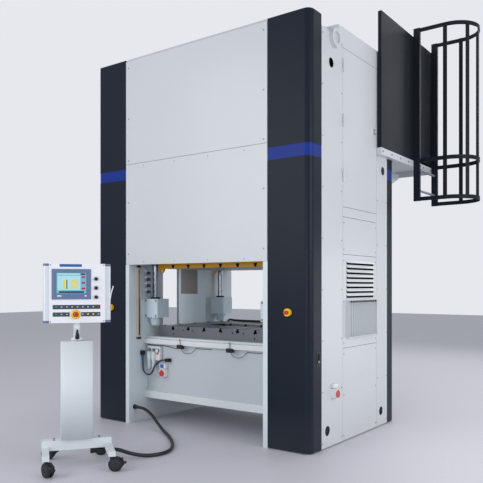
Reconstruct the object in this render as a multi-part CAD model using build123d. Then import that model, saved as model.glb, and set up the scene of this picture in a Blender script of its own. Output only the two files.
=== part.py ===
from build123d import *

import math
import os

# A high-speed blanking press with its control pedestal, its rear platform and a caged ladder.
# Millimetres. The origin is on the floor in the middle of the press's foundation holes.
# +Z is up, the operator stands at -Y and the strip runs along X.

# Overall sizes of the press
press_width = 3000.0
press_depth = 2000.0
press_height = 4310.0
roof_height = 210.0
opening_width = 1910.0
sheet = 4.0
floor_gap = 12.0
seam = 4.0

# Foundation holes in the feet of the side frames
anchor_inset_x = 300.0
anchor_inset_y = 300.0
anchor_radius = 21.0
anchor_depth = 80.0

# Cladding: trays of folded sheet that stand on the welded frame
panel_depth = 60.0
cover_depth = 45.0
column_lap = 55.0
front_column_depth = 220.0
rear_column_depth = 200.0
column_radius = 70.0
column_drop = 20.0
column_back_gap = 10.0
band_low = 2875.0
band_height = 125.0
band_recess = 2.0
cover_bottom = 1870.0
cover_seam_z = 3050.0
cover_lip = 42.0
lug_gap = 15.0
front_roof_height = 80.0
service_front_inset = 672.0
service_back_inset = 498.0

# Right side: heights of the seams from the floor
lower_seam_z = 975.0
louver_top = 1951.0
middle_top = 2342.0
rail_top = 2446.0
louver_count = 8
louver_pitch = 50.0
louver_low = 1512.0
louver_margin = 83.0
louver_height = 22.0
louver_reach = 14.0
louver_lap = 2.0
hood_bottom = 1076.0
hood_top = 1474.0
hood_margin = 63.0
hood_depth = 40.0
hood_wall = 8.0
hood_rib = 8.0
hood_rib_count = 13
handling_hole_radius = 50.0
front_hole_insets = (422.0, 342.0)
back_hole_insets = (321.0, 374.0)
front_hole_drop = 230.0
back_hole_drop = 1143.0
low_hole_z = 175.0

# Door over the flywheel
door_depth = 40.0
door_gap = 2.0
hinge_radius = 9.0
hinge_pin_radius = 4.0
hinge_fit = 0.05
hinge_knuckle = 45.0
hinge_inset = 255.0
hinge_stand = 10.0
hinge_leaf = 3.0
latch_drop = 730.0
latch_size = 60.0
latch_plate = 6.0
latch_button = 12.0

# Bed, bolster and ledges
bed_bottom = 275.0
bed_top = 1010.0
bed_depth = 1400.0
bed_wall = 60.0
bed_top_plate = 80.0
lip_height = 85.0
lip_depth = 40.0
ledge_drop = 25.0
ledge_height = 55.0
ledge_depth = 60.0
bolster_side_gap = 123.0
bolster_depth = 1250.0
bolster_thickness = 130.0
scrap_length = 900.0
scrap_depth = 380.0
t_slot_pitch = 240.0
t_slot_count = 6
t_slot_neck = 28.0
t_slot_foot = 46.0
t_slot_neck_depth = 22.0
t_slot_foot_depth = 20.0
side_hole_radius = 9.0
side_hole_depth = 40.0
side_hole_pitch = 150.0
side_hole_first = 140.0
side_hole_count = 4
side_hole_drop = 43.0
second_hole_drop = 95.0

# Side frames and crown
window_length = 840.0
window_bottom = 1080.0
window_top = 1900.0
bay_beam = 100.0
crown_bottom = 2500.0
crown_depth = 1400.0
crown_wall = 60.0
end_wall = 55.0
web_centre = 300.0
trunnion_radius = 95.0
trunnion_dish = 60.0
trunnion_dish_depth = 20.0
trunnion_stand = 40.0
trunnion_rise = 30.0
front_trunnion = 475.0
back_trunnion = 300.0
lug_half = 85.0
lug_length = 140.0
lug_height = 140.0

# Drive
stroke = 40.0
journal_radius = 70.0
end_radius = 60.0
shaft_stand = 10.0
shaft_right_inset = 30.0
shaft_left_inset = 165.0
bearing_radius = 105.0
running_fit = 0.05
soft_gap = 0.3
eccentric_radius = 110.0
eccentric_width = 160.0
rod_centre = 600.0
rod_width = 120.0
rod_arm_half = 70.0
rod_ring = 40.0
rod_foot_side = 20.0
rod_foot_front = 40.0
rod_foot_height = 60.0
open_pivot_clearance = 24.0
flywheel_radius = 440.0
flywheel_head_gap = 210.0
flywheel_side_gap = 60.0
flywheel_wall_gap = 105.0
flywheel_end_gap = 40.0
flywheel_hole_count = 8
flywheel_rim = 90.0
flywheel_web = 70.0
flywheel_hub = 120.0
belt_width = 80.0
belt_thickness = 8.0
motor_radius = 125.0
motor_stand = 65.0
motor_head_gap = 95.0
motor_wall_gap = 70.0
motor_fin_count = 9
motor_fin_width = 10.0
motor_fin_depth = 10.0
motor_fin_inset = 20.0
motor_foot_half = 105.0
motor_foot_inset = 15.0
motor_shaft_radius = 24.0
motor_shaft_depth = 60.0
pulley_radius = 90.0
pulley_width = 110.0
pulley_gap = 20.0
clutch_radius = 240.0
clutch_end_gap = 15.0
clutch_wall_gap = 110.0
clutch_groove_width = 24.0
clutch_groove_depth = 30.0

# Slide and its guides
slide_side_gap = 155.0
slide_depth = 1120.0
slide_head_gap = 80.0
plate_bottom = 1830.0
plate_thickness = 80.0
pillar_wall_gap = 80.0
pillar_y = 640.0
pillar_radius = 33.0
pillar_drop = 120.0
pillar_entry = 240.0
ear_rise = 40.0
ear_reach = 48.0
ear_root = 60.0
housing_stand = 100.0
housing_height = 225.0
housing_round = 12.0
housing_width = 210.0
housing_depth = 210.0
cup_top_radius = 72.0
cup_low_radius = 48.0
cup_height = 95.0
cup_floor = 20.0
nose_inset = 32.0
nose_front_y = -590.0
nose_back_y = 430.0
nose_radius = 38.0
nose_step = 20.0
nose_length = 55.0

# Small things on the walls of the die space
curtain_width = 26.0
curtain_depth = 55.0
curtain_gap = 44.0
manifold_length = 80.0
manifold_lap = 40.0
manifold_depth = 20.0
manifold_height = 380.0
valve_count = 4
valve_pitch = 75.0
valve_first = 45.0
valve_size = 34.0
switch_x = 360.0
switch_length = 60.0
switch_depth = 28.0
switch_height = 34.0

# Emergency stops on the front columns
stop_inset = 245.0
stop_z = 1362.0
stop_ring_radius = 38.0
stop_ring_depth = 28.0
stop_knob_radius = 20.0
stop_knob_depth = 26.0
stop_crown = 8.0
stop_crown_round = 7.0
stop_stem_radius = 9.0
stop_stem_fit = 0.05
stop_travel = 6.0

# Power sockets with hinged lids
socket_width = 84.0
socket_depth = 55.0
socket_height = 96.0
socket_round = 12.0
socket_bore = 27.0
socket_bore_depth = 30.0
socket_bore_drop = 6.0
socket_ear_inner = 14.0
socket_ear_outer = 20.0
socket_ear_depth = 5.0
socket_lid_radius = 36.0
socket_lid_thickness = 9.0
lid_pin_radius = 3.0
lid_pin_drop = 2.0
lid_side_gap = 1.0
lid_lug = 20.0
side_socket_inset = 453.0
side_socket_z = 540.0
front_socket_inset = 295.0
front_socket_z = 590.0

# Rear platform, guards and caged ladder
deck_left = 480.0
deck_overhang = 60.0
deck_length = 1160.0
deck_drop = 900.0
deck_depth = 80.0
deck_plate = 5.0
bracket_x = (560.0, 1180.0)
bracket_drop = 420.0
bracket_reach = 900.0
bracket_tip = 60.0
bracket_thickness = 12.0
guard_thickness = 3.0
guard_height = 1560.0
guard_setback = 10.0
guard_edge = 30.0
guard_post = 40.0
stile_depth = 80.0
stile_thickness = 40.0
ladder_setback = 520.0
ladder_width = 600.0
ladder_drop = 510.0
rung_radius = 14.0
rung_pitch = 260.0
rung_first = 140.0
gate_gap = 6.0
gate_hinge_radius = 9.0
gate_inset = 12.0
gate_lift = 40.0
gate_hinge_low = 120.0
gate_hinge_drop = 160.0
gate_knuckle = 60.0
gate_lug = 10.0
cage_radius = 320.0
cage_straight = 310.0
cage_bar = 50.0
cage_bar_thickness = 6.0
cage_hoop_drop = 485.0
cage_hoop_rise = 75.0
cage_bar_angles = (-90.0, -40.0, 0.0, 40.0, 90.0)

# Control pedestal, laid out in its own frame: its front faces -Y and it stands on Z = 0
pedestal_x = -80.0
pedestal_y = -2490.0
pedestal_turn = 54.0
caster_track = 554.0
caster_base = 580.0
wheel_radius = 62.0
wheel_width = 22.0
wheel_gap = 14.0
wheel_bore_fit = 0.05
axle_radius = 6.0
caster_trail = 36.0
caster_turns = (-151.0, -108.0, -108.0, 78.0)
caster_plate_low = 134.0
caster_plate_half = 36.0
fork_clearance = 1.0
kingpin_radius = 9.0
kingpin_cover = 5.0
fork_plate = 8.0
fork_neck = 14.0
axle_end = 5.0
tyre_round = 4.0
arm_width = 60.0
arm_overhang = 4.0
beam_rise = 10.0
arm_height = 46.0
beam_width = 90.0
beam_height = 90.0
column_width = 285.0
column_depth = 120.0
column_high = 1124.0
column_round = 10.0
neck_radius = 32.0
neck_split = 1235.0
neck_pin_radius = 14.0
neck_pin_length = 60.0
neck_lever = 70.0
turn_gap = 0.3
panel_low = 1290.0
panel_high = 1820.0
panel_width = 488.0
panel_front = -95.0
panel_back = 60.0
panel_round = 18.0
handle_width = 52.0
handle_depth = 74.0
handle_cap = 22.0
handle_inset = 8.0
screen_left = -222.0
screen_right = 118.0
screen_low = 1500.0
screen_high = 1772.0
screen_depth = 6.0
screen_border = 26.0
knob_x = 164.0
knob_heights = (1520.0, 1602.0, 1684.0)
knob_radius = 17.0
knob_depth = 24.0
knob_stem_radius = 6.0
knob_draft = 3.0
knob_pointer_half = 3.0
knob_grip = 4.0
key_rows = (1432.0, 1366.0)
key_size = 26.0
key_depth = 5.0
key_pitch = 46.0
key_columns = 9
panel_stop_x = -16.0
panel_stop_z = 1366.0

# Hose from the left side frame to the pedestal: its first points count from the wall and the press's front
hose_radius = 17.5
hose_at_wall = [(62, 86, 184), (165, 86, 184), (315, 52, 134)]
hose_on_floor = [
    (-480, -1016, 66), (-300, -1118, 24), (-110, -1240, 19), (75, -1385, 18.5), (235, -1540, 18.5),
    (338, -1700, 18.5), (352, -1850, 18.5), (275, -1985, 19), (196, -2110, 60), (128.1, -2203.6, 112),
    (61.1, -2295.8, 112),
]
gland_radius = 24.0
gland_nut_ratio = 1.25
gland_nut_share = 0.3
gland_taper = 0.8
connector_radius = 25.0
connector_length = 120.0
connector_x = 240.0
connector_hanger_half = 15.0
connector_hanger_low = 20.0
connector_hanger_high = 40.0

# Short hose in front of the bed: its points count from the left wall
service_radius = 9.0
service_from_wall = [
    (25, -800, 795), (25, -800, 700), (29, -796, 606), (73, -790, 561), (135, -787, 562),
    (177, -782, 606), (188, -775, 660), (233, -762, 708), (287, -745, 745), (347, -745, 745),
]
fitting_length = 50.0
inlet_half = 20.0
outlet_half = 18.0

# Places worked out from the sizes above
half_width = press_width / 2
front = -press_depth / 2
back = press_depth / 2
anchor_spacing_x = 2 * (half_width - anchor_inset_x)
anchor_spacing_y = 2 * (back - anchor_inset_y)
wall_in = opening_width / 2
wall_out = half_width - panel_depth
cover_in = wall_in + column_lap
column_top = press_height - column_drop
frame_height = press_height - roof_height
strip_top = frame_height + front_roof_height
door_top = frame_height - seam
bay_top = frame_height - bay_beam
trunnion_z = frame_height + trunnion_rise
trunnion_places = (front + front_trunnion, back - back_trunnion)
roof_front = trunnion_places[0] + lug_half + lug_gap
roof_back = trunnion_places[1] - lug_half - lug_gap
service_front = front + service_front_inset
service_back = back - service_back_inset
front_hole_heights = (frame_height - front_hole_drop, low_hole_z)
back_hole_heights = (frame_height - back_hole_drop, low_hole_z)
first_hinge = rail_top + hinge_inset
last_hinge = door_top - hinge_inset
hinge_heights = (first_hinge, (first_hinge + last_hinge) / 2, last_hinge)
latch_height = door_top - latch_drop
ledge_high = bed_top - ledge_drop
ledge_low = ledge_high - ledge_height
frame_front = front + front_column_depth + column_back_gap
frame_back = back - rear_column_depth - column_back_gap
crown_half = crown_depth / 2
bed_half = bed_depth / 2
bolster_top = bed_top + bolster_thickness
bolster_length = opening_width - 2 * bolster_side_gap
nose_x = bolster_length / 2 - nose_inset
slide_length = opening_width - 2 * slide_side_gap
slide_top = crown_bottom - slide_head_gap
plate_top = plate_bottom + plate_thickness
ear_bottom = plate_top + ear_rise
housing_low = bolster_top + housing_stand
housing_high = housing_low + housing_height
pillar_x = wall_in - pillar_wall_gap
pillar_bottom = housing_high - pillar_entry
pillar_top = slide_top - pillar_drop
manifold_front = -pillar_y - housing_depth / 2 + manifold_lap - manifold_length
curtain_front = manifold_front - curtain_gap - curtain_depth

shaft_z = bay_top - flywheel_head_gap - flywheel_radius
motor_z = shaft_z - flywheel_radius - motor_head_gap - motor_radius
bay_bottom = motor_z - motor_radius - motor_stand
bay_length = 2 * (flywheel_radius + flywheel_side_gap)
flywheel_left = wall_in + flywheel_wall_gap
flywheel_right = wall_out - flywheel_end_gap
belt_centre = flywheel_right - pulley_width / 2
motor_left = wall_in + motor_wall_gap
motor_right = belt_centre - pulley_width / 2 - pulley_gap
shaft_left = shaft_left_inset - wall_out
shaft_right = wall_out - shaft_right_inset
clutch_left = shaft_left + clutch_end_gap
clutch_right = -wall_in - clutch_wall_gap

deck_front = service_back + seam
deck_right = half_width + deck_overhang
deck_back = back + deck_length
deck_top = frame_height - deck_drop
guard_top = deck_top + guard_height
ladder_front = back + ladder_setback
ladder_bottom = deck_top - ladder_drop
cage_hoops = (deck_top - cage_hoop_drop, deck_top, guard_top + cage_hoop_rise)
hose_steps = [(x - wall_in, y + front, z) for x, y, z in hose_at_wall] + hose_on_floor
service_steps = [(x - wall_in, y, z) for x, y, z in service_from_wall]
throw = stroke / 2
rod_bore = eccentric_radius + open_pivot_clearance
rod_ring_radius = rod_bore + rod_ring
t_slots = [(i - (t_slot_count - 1) / 2) * t_slot_pitch for i in range(t_slot_count)]

parts = {}


def block(x0, x1, y0, y1, z0, z1):
    """A box between two corners."""
    centre = Pos((x0 + x1) / 2, (y0 + y1) / 2, (z0 + z1) / 2)
    return centre * Box(abs(x1 - x0), abs(y1 - y0), abs(z1 - z0))


def rod(axis, start, length, radius, top_radius=None):
    """A round bar, or a cone, from a point along +X, +Y or +Z (a minus sign turns it round)."""
    turn = {"x": (0, 90, 0), "-x": (0, -90, 0), "y": (-90, 0, 0), "-y": (90, 0, 0),
            "z": (0, 0, 0), "-z": (180, 0, 0)}[axis]
    low = (Align.CENTER, Align.CENTER, Align.MIN)
    if top_radius is None:
        body = Cylinder(radius, length, align=low)
    else:
        body = Cone(radius, top_radius, length, align=low)
    return Pos(*start) * Rot(*turn) * body


def other_side(shape):
    """The same piece on the other side of the press."""
    return mirror(shape, about=Plane.YZ)


def group(pieces):
    """Separate solids that share one node."""
    solids = [solid for piece in pieces for solid in piece.solids()]
    return Compound(children=solids)


def add(name, *pieces):
    """Keeps a node's solids under its name."""
    parts[name] = group(pieces)


def tray(x0, x1, y0, y1, z0, z1, open_side):
    """A folded sheet tray: a box with walls one sheet thick, open on one side."""
    reach = {"-x": (x0 - 1, x1 - sheet, y0 + sheet, y1 - sheet, z0 + sheet, z1 - sheet),
             "x": (x0 + sheet, x1 + 1, y0 + sheet, y1 - sheet, z0 + sheet, z1 - sheet),
             "-y": (x0 + sheet, x1 - sheet, y0 - 1, y1 - sheet, z0 + sheet, z1 - sheet),
             "y": (x0 + sheet, x1 - sheet, y0 + sheet, y1 + 1, z0 + sheet, z1 - sheet),
             "-z": (x0 + sheet, x1 - sheet, y0 + sheet, y1 - sheet, z0 - 1, z1 - sheet)}[open_side]
    return block(x0, x1, y0, y1, z0, z1) - block(*reach)


def t_slot(x, half_length, face, inward):
    """The cutter of one T-slot that runs front to back in a face; inward is -1 or +1 along Z."""
    neck_end = face + inward * t_slot_neck_depth
    foot_end = neck_end + inward * t_slot_foot_depth
    half_neck = t_slot_neck / 2
    half_foot = t_slot_foot / 2
    reach = half_length + 1
    neck = block(x - half_neck, x + half_neck, -reach, reach, *sorted((face - inward, neck_end)))
    foot = block(x - half_foot, x + half_foot, -reach, reach, *sorted((neck_end, foot_end)))
    return neck + foot


def side_frame():
    """The right side frame: a welded wall with the feed window, the drive bay and the feet's holes."""
    body = block(wall_in, wall_out, frame_front, frame_back, 0, frame_height)
    flange_back = cover_bottom - seam / 2
    for face, inner, depth in ((front, frame_front, cover_depth), (back, frame_back, -cover_depth)):
        body += block(wall_in, cover_in, *sorted((face, inner)), 0, flange_back)
        body += block(wall_in, cover_in, *sorted((face + depth, inner)), flange_back, frame_height)
    body -= block(wall_in - 1, wall_out + 1, -window_length / 2, window_length / 2,
                  window_bottom, window_top)
    body -= block(wall_in - 1, wall_out + 1, -bay_length / 2, bay_length / 2, bay_bottom, bay_top)
    for y in (-anchor_spacing_y / 2, anchor_spacing_y / 2):
        body -= rod("z", (anchor_spacing_x / 2, y, -1), anchor_depth + 1, anchor_radius)
    for y in trunnion_places:
        body += block(wall_out - lug_length, wall_out, y - lug_half, y + lug_half,
                      frame_height, frame_height + lug_height)
        body += rod("x", (wall_out - 1, y, trunnion_z), panel_depth + trunnion_stand + 1, trunnion_radius)
        dish_start = (half_width + trunnion_stand - trunnion_dish_depth, y, trunnion_z)
        body -= rod("x", dish_start, trunnion_dish_depth + 1, trunnion_dish)
    return body


def column_cover(face, depth):
    """A dark column cover on the right: sheet bent round the outer corner, with a shallow band."""
    inward = 1 if face < 0 else -1
    rear = face + inward * depth

    def column(inset, left, beyond, z0, z1):
        near = face + inward * inset
        body = block(left, half_width - inset, *sorted((near, rear + inward * beyond)), z0, z1)
        corner = [e for e in body.edges().filter_by(Axis.Z)
                  if abs(e.center().X - half_width + inset) < 1 and abs(e.center().Y - near) < 1]
        return fillet(corner, column_radius - inset)

    outer = column(0, cover_in, 0, floor_gap, column_top)
    outer -= column(sheet, cover_in + sheet, 1, floor_gap - 1, column_top - sheet)
    band_high = band_low + band_height
    ring = block(cover_in - 1, half_width + 1, *sorted((face - inward, rear)), band_low, band_high)
    return outer - (ring - column(band_recess, cover_in - 2, 1, band_low - 1, band_high + 1))


def crown():
    """The welded crown: cross walls with the shaft's bores, open below for the connecting rods."""
    body = block(-wall_in, wall_in, -crown_half, crown_half, crown_bottom, frame_height)
    half_web = crown_wall / 2
    rooms = [(-wall_in + end_wall, -web_centre - half_web), (-web_centre + half_web, web_centre - half_web),
             (web_centre + half_web, wall_in - end_wall)]
    for x0, x1 in rooms:
        body -= block(x0, x1, -crown_half + crown_wall, crown_half - crown_wall,
                      crown_bottom - 1, frame_height - crown_wall)
    body -= rod("x", (-wall_in - 1, 0, shaft_z), 2 * wall_in + 2, bearing_radius)
    return body


def bed():
    """The bed with its scrap opening, foot lips and the ledges in front of and behind the bolster."""
    body = block(-wall_in, wall_in, -bed_half, bed_half, bed_bottom, bed_top)
    for x0, x1 in ((-wall_in + bed_wall, -bed_wall / 2), (bed_wall / 2, wall_in - bed_wall)):
        body -= block(x0, x1, -bed_half + bed_wall, bed_half - bed_wall,
                      bed_bottom - 1, bed_top - bed_top_plate)
    body -= block(-scrap_length / 2, scrap_length / 2, -scrap_depth / 2, scrap_depth / 2,
                  bed_bottom - 1, bed_top + 1)
    for sign in (-1, 1):
        lip = sorted((sign * bed_half, sign * (bed_half + lip_depth)))
        ledge = sorted((sign * bed_half, sign * (bed_half + ledge_depth)))
        body += block(-wall_in, wall_in, *lip, bed_bottom, bed_bottom + lip_height)
        body += block(-wall_in, wall_in, *ledge, ledge_low, ledge_high)
    return body


def bolster():
    """The bolster plate: T-slots on top, threaded holes in its front and back edges."""
    half_depth = bolster_depth / 2
    body = block(-bolster_length / 2, bolster_length / 2, -half_depth, half_depth, bed_top, bolster_top)
    for x in t_slots:
        body -= t_slot(x, half_depth, bolster_top, -1)
    body -= block(-scrap_length / 2, scrap_length / 2, -scrap_depth / 2, scrap_depth / 2,
                  bed_top - 1, bolster_top + 1)
    side_holes = [(side_hole_first + i * side_hole_pitch, side_hole_drop) for i in range(side_hole_count)]
    side_holes.append((side_holes[-1][0], second_hole_drop))
    for x, drop in side_holes:
        for sign in (-1, 1):
            body -= rod("y", (sign * x, -half_depth - 1, bolster_top - drop),
                        side_hole_depth + 1, side_hole_radius)
    return body


def front_cover(z0, z1, lip):
    """A cover between the columns: a tray open to the rear, with its top edge folded back."""
    reach = cover_in - seam
    face = front + cover_depth

    def cover(inset, beyond):
        body = block(-reach + inset, reach - inset, front + inset, face + beyond, z0 + inset, z1 - inset)
        if lip:
            edge = body.faces().sort_by(Axis.Z)[-1].edges().sort_by(Axis.Y)[0]
            body = chamfer(edge, cover_lip - inset)
        return body

    return cover(0, 0) - cover(sheet, 1)


def side_trays():
    """The fixed cladding of the right side: front strip, rear strip, lower panel, middle panel, trim rail."""
    def side_tray(y0, y1, z0, z1):
        return tray(wall_out, half_width, y0, y1, z0, z1, "-x")

    strip_front = front + front_column_depth + seam
    strip_back = back - rear_column_depth - seam
    front_strip = side_tray(strip_front, service_front - seam / 2, floor_gap, strip_top)
    rear_strip = side_tray(service_back + seam / 2, strip_back, floor_gap, strip_top)
    for y in trunnion_places:
        opening = rod("x", (wall_out - 1, y, trunnion_z), panel_depth + 2, trunnion_radius + soft_gap)
        front_strip -= opening
        rear_strip -= opening
    hole_start = half_width - sheet - 1
    for inset, z in zip(front_hole_insets, front_hole_heights):
        front_strip -= rod("x", (hole_start, front + inset, z), sheet + 2, handling_hole_radius)
    for inset, z in zip(back_hole_insets, back_hole_heights):
        rear_strip -= rod("x", (hole_start, back - inset, z), sheet + 2, handling_hole_radius)
    under_roof = block(wall_out - 1, half_width + 1, roof_front - seam, roof_back + seam,
                       frame_height - seam, strip_top + 1)
    front_strip -= under_roof
    rear_strip -= under_roof
    y0 = service_front + seam / 2
    y1 = service_back - seam / 2
    lower = side_tray(y0, y1, floor_gap, lower_seam_z - seam)
    middle = side_tray(y0, y1, louver_top, middle_top - seam)
    rail = side_tray(y0, y1, middle_top, rail_top - seam)
    return front_strip, rear_strip, lower, middle, rail


def louver_panel():
    """The panel over the right feed window: a block of louvers above a hood with upright ribs."""
    y0 = service_front + seam / 2
    y1 = service_back - seam / 2
    body = tray(wall_out, half_width, y0, y1, lower_seam_z, louver_top - seam, "-x")
    slot_y = (y0 + louver_margin, y1 - louver_margin)
    inside = half_width - sheet
    tip = half_width + louver_reach
    for i in range(louver_count):
        low = louver_low + i * louver_pitch
        body -= block(inside - 1, half_width + 1, *slot_y, low, low + louver_height)
        root = low + louver_height + louver_lap
        outline = Polyline((inside, root), (half_width, root), (tip, low + 2 * louver_lap),
                           (tip - louver_lap, low + louver_lap), close=True)
        blade_face = Plane.XZ.offset(louver_lap - slot_y[0]) * make_face(outline)
        body += extrude(blade_face, slot_y[1] - slot_y[0] + 2 * louver_lap, dir=(0, 1, 0))
    hood_y = (y0 + hood_margin, y1 - hood_margin)
    room = (hood_y[0] + hood_wall, hood_y[1] - hood_wall, hood_bottom + hood_wall, hood_top - hood_wall)
    body += block(inside, half_width + hood_depth, *hood_y, hood_bottom, hood_top)
    body -= block(inside - 1, half_width + hood_depth + 1, *room)
    pitch = (hood_y[1] - hood_y[0]) / (hood_rib_count + 1)
    for i in range(hood_rib_count):
        y = hood_y[0] + (i + 1) * pitch
        body += block(inside, half_width + hood_depth - hood_rib, y - hood_rib / 2, y + hood_rib / 2,
                      room[2] - 1, room[3] + 1)
    return body


def left_trays():
    """The cladding of the left side: two strips, a lower panel, an upper panel and one with a window."""
    def side_tray(y0, y1, z0, z1):
        return tray(-half_width, -wall_out, y0, y1, z0, z1, "x")

    strip_front = front + front_column_depth + seam
    strip_back = back - rear_column_depth - seam
    y0 = service_front + seam / 2
    y1 = service_back - seam / 2
    front_strip = side_tray(strip_front, y0 - seam, floor_gap, strip_top)
    rear_strip = side_tray(y1 + seam, strip_back, floor_gap, strip_top)
    for y in trunnion_places:
        opening = rod("-x", (1 - wall_out, y, trunnion_z), panel_depth + 2, trunnion_radius + soft_gap)
        front_strip -= opening
        rear_strip -= opening
    under_roof = block(-half_width - 1, 1 - wall_out, roof_front - seam, roof_back + seam,
                       frame_height - seam, strip_top + 1)
    front_strip -= under_roof
    rear_strip -= under_roof
    lower = side_tray(y0, y1, floor_gap, lower_seam_z - seam)
    middle = side_tray(y0, y1, lower_seam_z, rail_top - seam)
    middle -= block(-half_width - 1, -wall_out + 1, y0 + bed_wall, y1 - bed_wall, window_bottom, window_top)
    upper = side_tray(y0, y1, rail_top, door_top)
    return front_strip, rear_strip, lower, middle, upper


def hinge_parts():
    """The door's hinges: fixed knuckles with their pins, and the door's own knuckles between them."""
    x = half_width + hinge_stand
    y = service_front
    fixed = []
    moving = []
    for z in hinge_heights:
        for low, side, pieces in ((z, -1, fixed), (z + hinge_knuckle + door_gap, 1, moving),
                                  (z + 2 * (hinge_knuckle + door_gap), -1, fixed)):
            knuckle = rod("z", (x, y, low), hinge_knuckle, hinge_radius)
            knuckle += block(half_width, half_width + hinge_leaf,
                             *sorted((y, y + side * 3 * hinge_radius)), low, low + hinge_knuckle)
            if pieces is moving:
                knuckle -= rod("z", (x, y, low - 1), hinge_knuckle + 2, hinge_pin_radius + hinge_fit)
            pieces.append(knuckle)
        pin = rod("z", (x, y, z), 3 * hinge_knuckle + 2 * door_gap, hinge_pin_radius)
        fixed.append(pin)
    return fixed, moving


def flywheel_door():
    """The door over the flywheel: a shallow tray with its knuckles and a latch plate."""
    body = tray(half_width - door_depth, half_width, service_front + seam / 2, service_back - seam / 2,
                rail_top, door_top, "-x")
    y = service_back - seam / 2 - latch_size
    body += block(half_width, half_width + latch_plate, y - latch_size / 2, y + latch_size / 2,
                  latch_height - latch_size / 2, latch_height + latch_size / 2)
    body += rod("x", (half_width + latch_plate - 1, y, latch_height), latch_button, latch_size / 4)
    for knuckle in hinge_parts()[1]:
        body += knuckle
    return body


def eccentric_shaft():
    """The eccentric shaft with its two eccentrics, at the top of the stroke."""
    body = rod("x", (-wall_in - shaft_stand, 0, shaft_z), 2 * (wall_in + shaft_stand), journal_radius)
    body += rod("x", (shaft_left, 0, shaft_z), shaft_right - shaft_left, end_radius)
    for x in (-rod_centre, rod_centre):
        body += rod("x", (x - eccentric_width / 2, 0, shaft_z + throw), eccentric_width, eccentric_radius)
    return body


def main_bearings():
    """Bearing shells in the crown's end walls and cross webs."""
    places = [(-wall_in, end_wall), (-web_centre - crown_wall / 2, crown_wall),
              (web_centre - crown_wall / 2, crown_wall), (wall_in - end_wall, end_wall)]
    return [rod("x", (x, 0, shaft_z), width, bearing_radius)
            - rod("x", (x - 1, 0, shaft_z), width + 2, journal_radius + running_fit) for x, width in places]


def connecting_rods():
    """Two rods carried by the slide; their rings go round the eccentrics with clearance."""
    rods = []
    for x in (-rod_centre, rod_centre):
        left = x - rod_width / 2
        body = rod("x", (left, 0, shaft_z + throw), rod_width, rod_ring_radius)
        body += block(left, left + rod_width, -rod_arm_half, rod_arm_half, slide_top, shaft_z)
        body += block(left - rod_foot_side, left + rod_width + rod_foot_side,
                      -rod_arm_half - rod_foot_front, rod_arm_half + rod_foot_front,
                      slide_top, slide_top + rod_foot_height)
        body -= rod("x", (left - 1, 0, shaft_z + throw), rod_width + 2, rod_bore)
        rods.append(body)
    return rods


def flywheel():
    """The flywheel: a rim, a thinner web with eight holes and a hub that runs on the shaft."""
    middle = (flywheel_left + flywheel_right) / 2
    width = flywheel_right - flywheel_left
    body = rod("x", (flywheel_left, 0, shaft_z), width, flywheel_radius)
    room = (width - flywheel_web) / 2
    for start in (flywheel_left - 1, middle + flywheel_web / 2):
        cut = rod("x", (start, 0, shaft_z), room + 1, flywheel_radius - flywheel_rim)
        body -= cut - rod("x", (start, 0, shaft_z), room + 1, flywheel_hub)
    body -= rod("x", (flywheel_left - 1, 0, shaft_z), width + 2, end_radius + running_fit)
    ring = (flywheel_hub + flywheel_radius - flywheel_rim) / 2
    for i in range(flywheel_hole_count):
        angle = 2 * math.pi * i / flywheel_hole_count
        body -= rod("x", (middle - flywheel_web, ring * math.cos(angle), shaft_z + ring * math.sin(angle)),
                    2 * flywheel_web, (flywheel_radius - flywheel_rim - flywheel_hub) / 4)
    return body


def drive_belt():
    """The flat belt from the motor's pulley to the flywheel, with a running gap to both."""
    def loop(thickness):
        big = Pos(0, shaft_z) * Circle(flywheel_radius + soft_gap + thickness)
        small = Pos(0, motor_z) * Circle(pulley_radius + soft_gap + thickness)
        outline = make_hull([*big.edges(), *small.edges()])
        plane = Plane.YZ.offset(belt_centre - belt_width / 2)
        return extrude(plane * outline, belt_width, dir=(1, 0, 0))
    return loop(belt_thickness) - loop(0)


def drive_motor():
    """The drive motor on its foot, with cooling ribs."""
    length = motor_right - motor_left
    body = rod("x", (motor_left, 0, motor_z), length, motor_radius - motor_fin_depth)
    pitch = (length - 2 * motor_fin_inset - motor_fin_width) / (motor_fin_count - 1)
    for i in range(motor_fin_count):
        fin_start = motor_left + motor_fin_inset + i * pitch
        body += rod("x", (fin_start, 0, motor_z), motor_fin_width, motor_radius)
    body += block(motor_left + motor_foot_inset, motor_right - motor_foot_inset,
                  -motor_foot_half, motor_foot_half, bay_bottom, motor_z - motor_radius / 2)
    return body - rod("x", (motor_right - motor_shaft_depth, 0, motor_z), motor_shaft_depth + 1,
                      motor_shaft_radius + running_fit)


def motor_pulley():
    """The motor's pulley on its shaft."""
    body = rod("x", (belt_centre - pulley_width / 2, 0, motor_z), pulley_width, pulley_radius)
    reach = belt_centre - motor_right + motor_shaft_depth - 1
    return body + rod("x", (motor_right - motor_shaft_depth + 1, 0, motor_z), reach, motor_shaft_radius)


def clutch_brake():
    """The clutch and brake unit on the shaft's left end."""
    width = clutch_right - clutch_left
    body = rod("x", (clutch_left, 0, shaft_z), width, clutch_radius)
    groove_start = (clutch_left + (width - clutch_groove_width) / 2, 0, shaft_z)
    groove = rod("x", groove_start, clutch_groove_width, clutch_radius + 1)
    body -= groove - rod("x", groove_start, clutch_groove_width, clutch_radius - clutch_groove_depth)
    return body - rod("x", (clutch_left - 1, 0, shaft_z), width + 2, end_radius)


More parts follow.
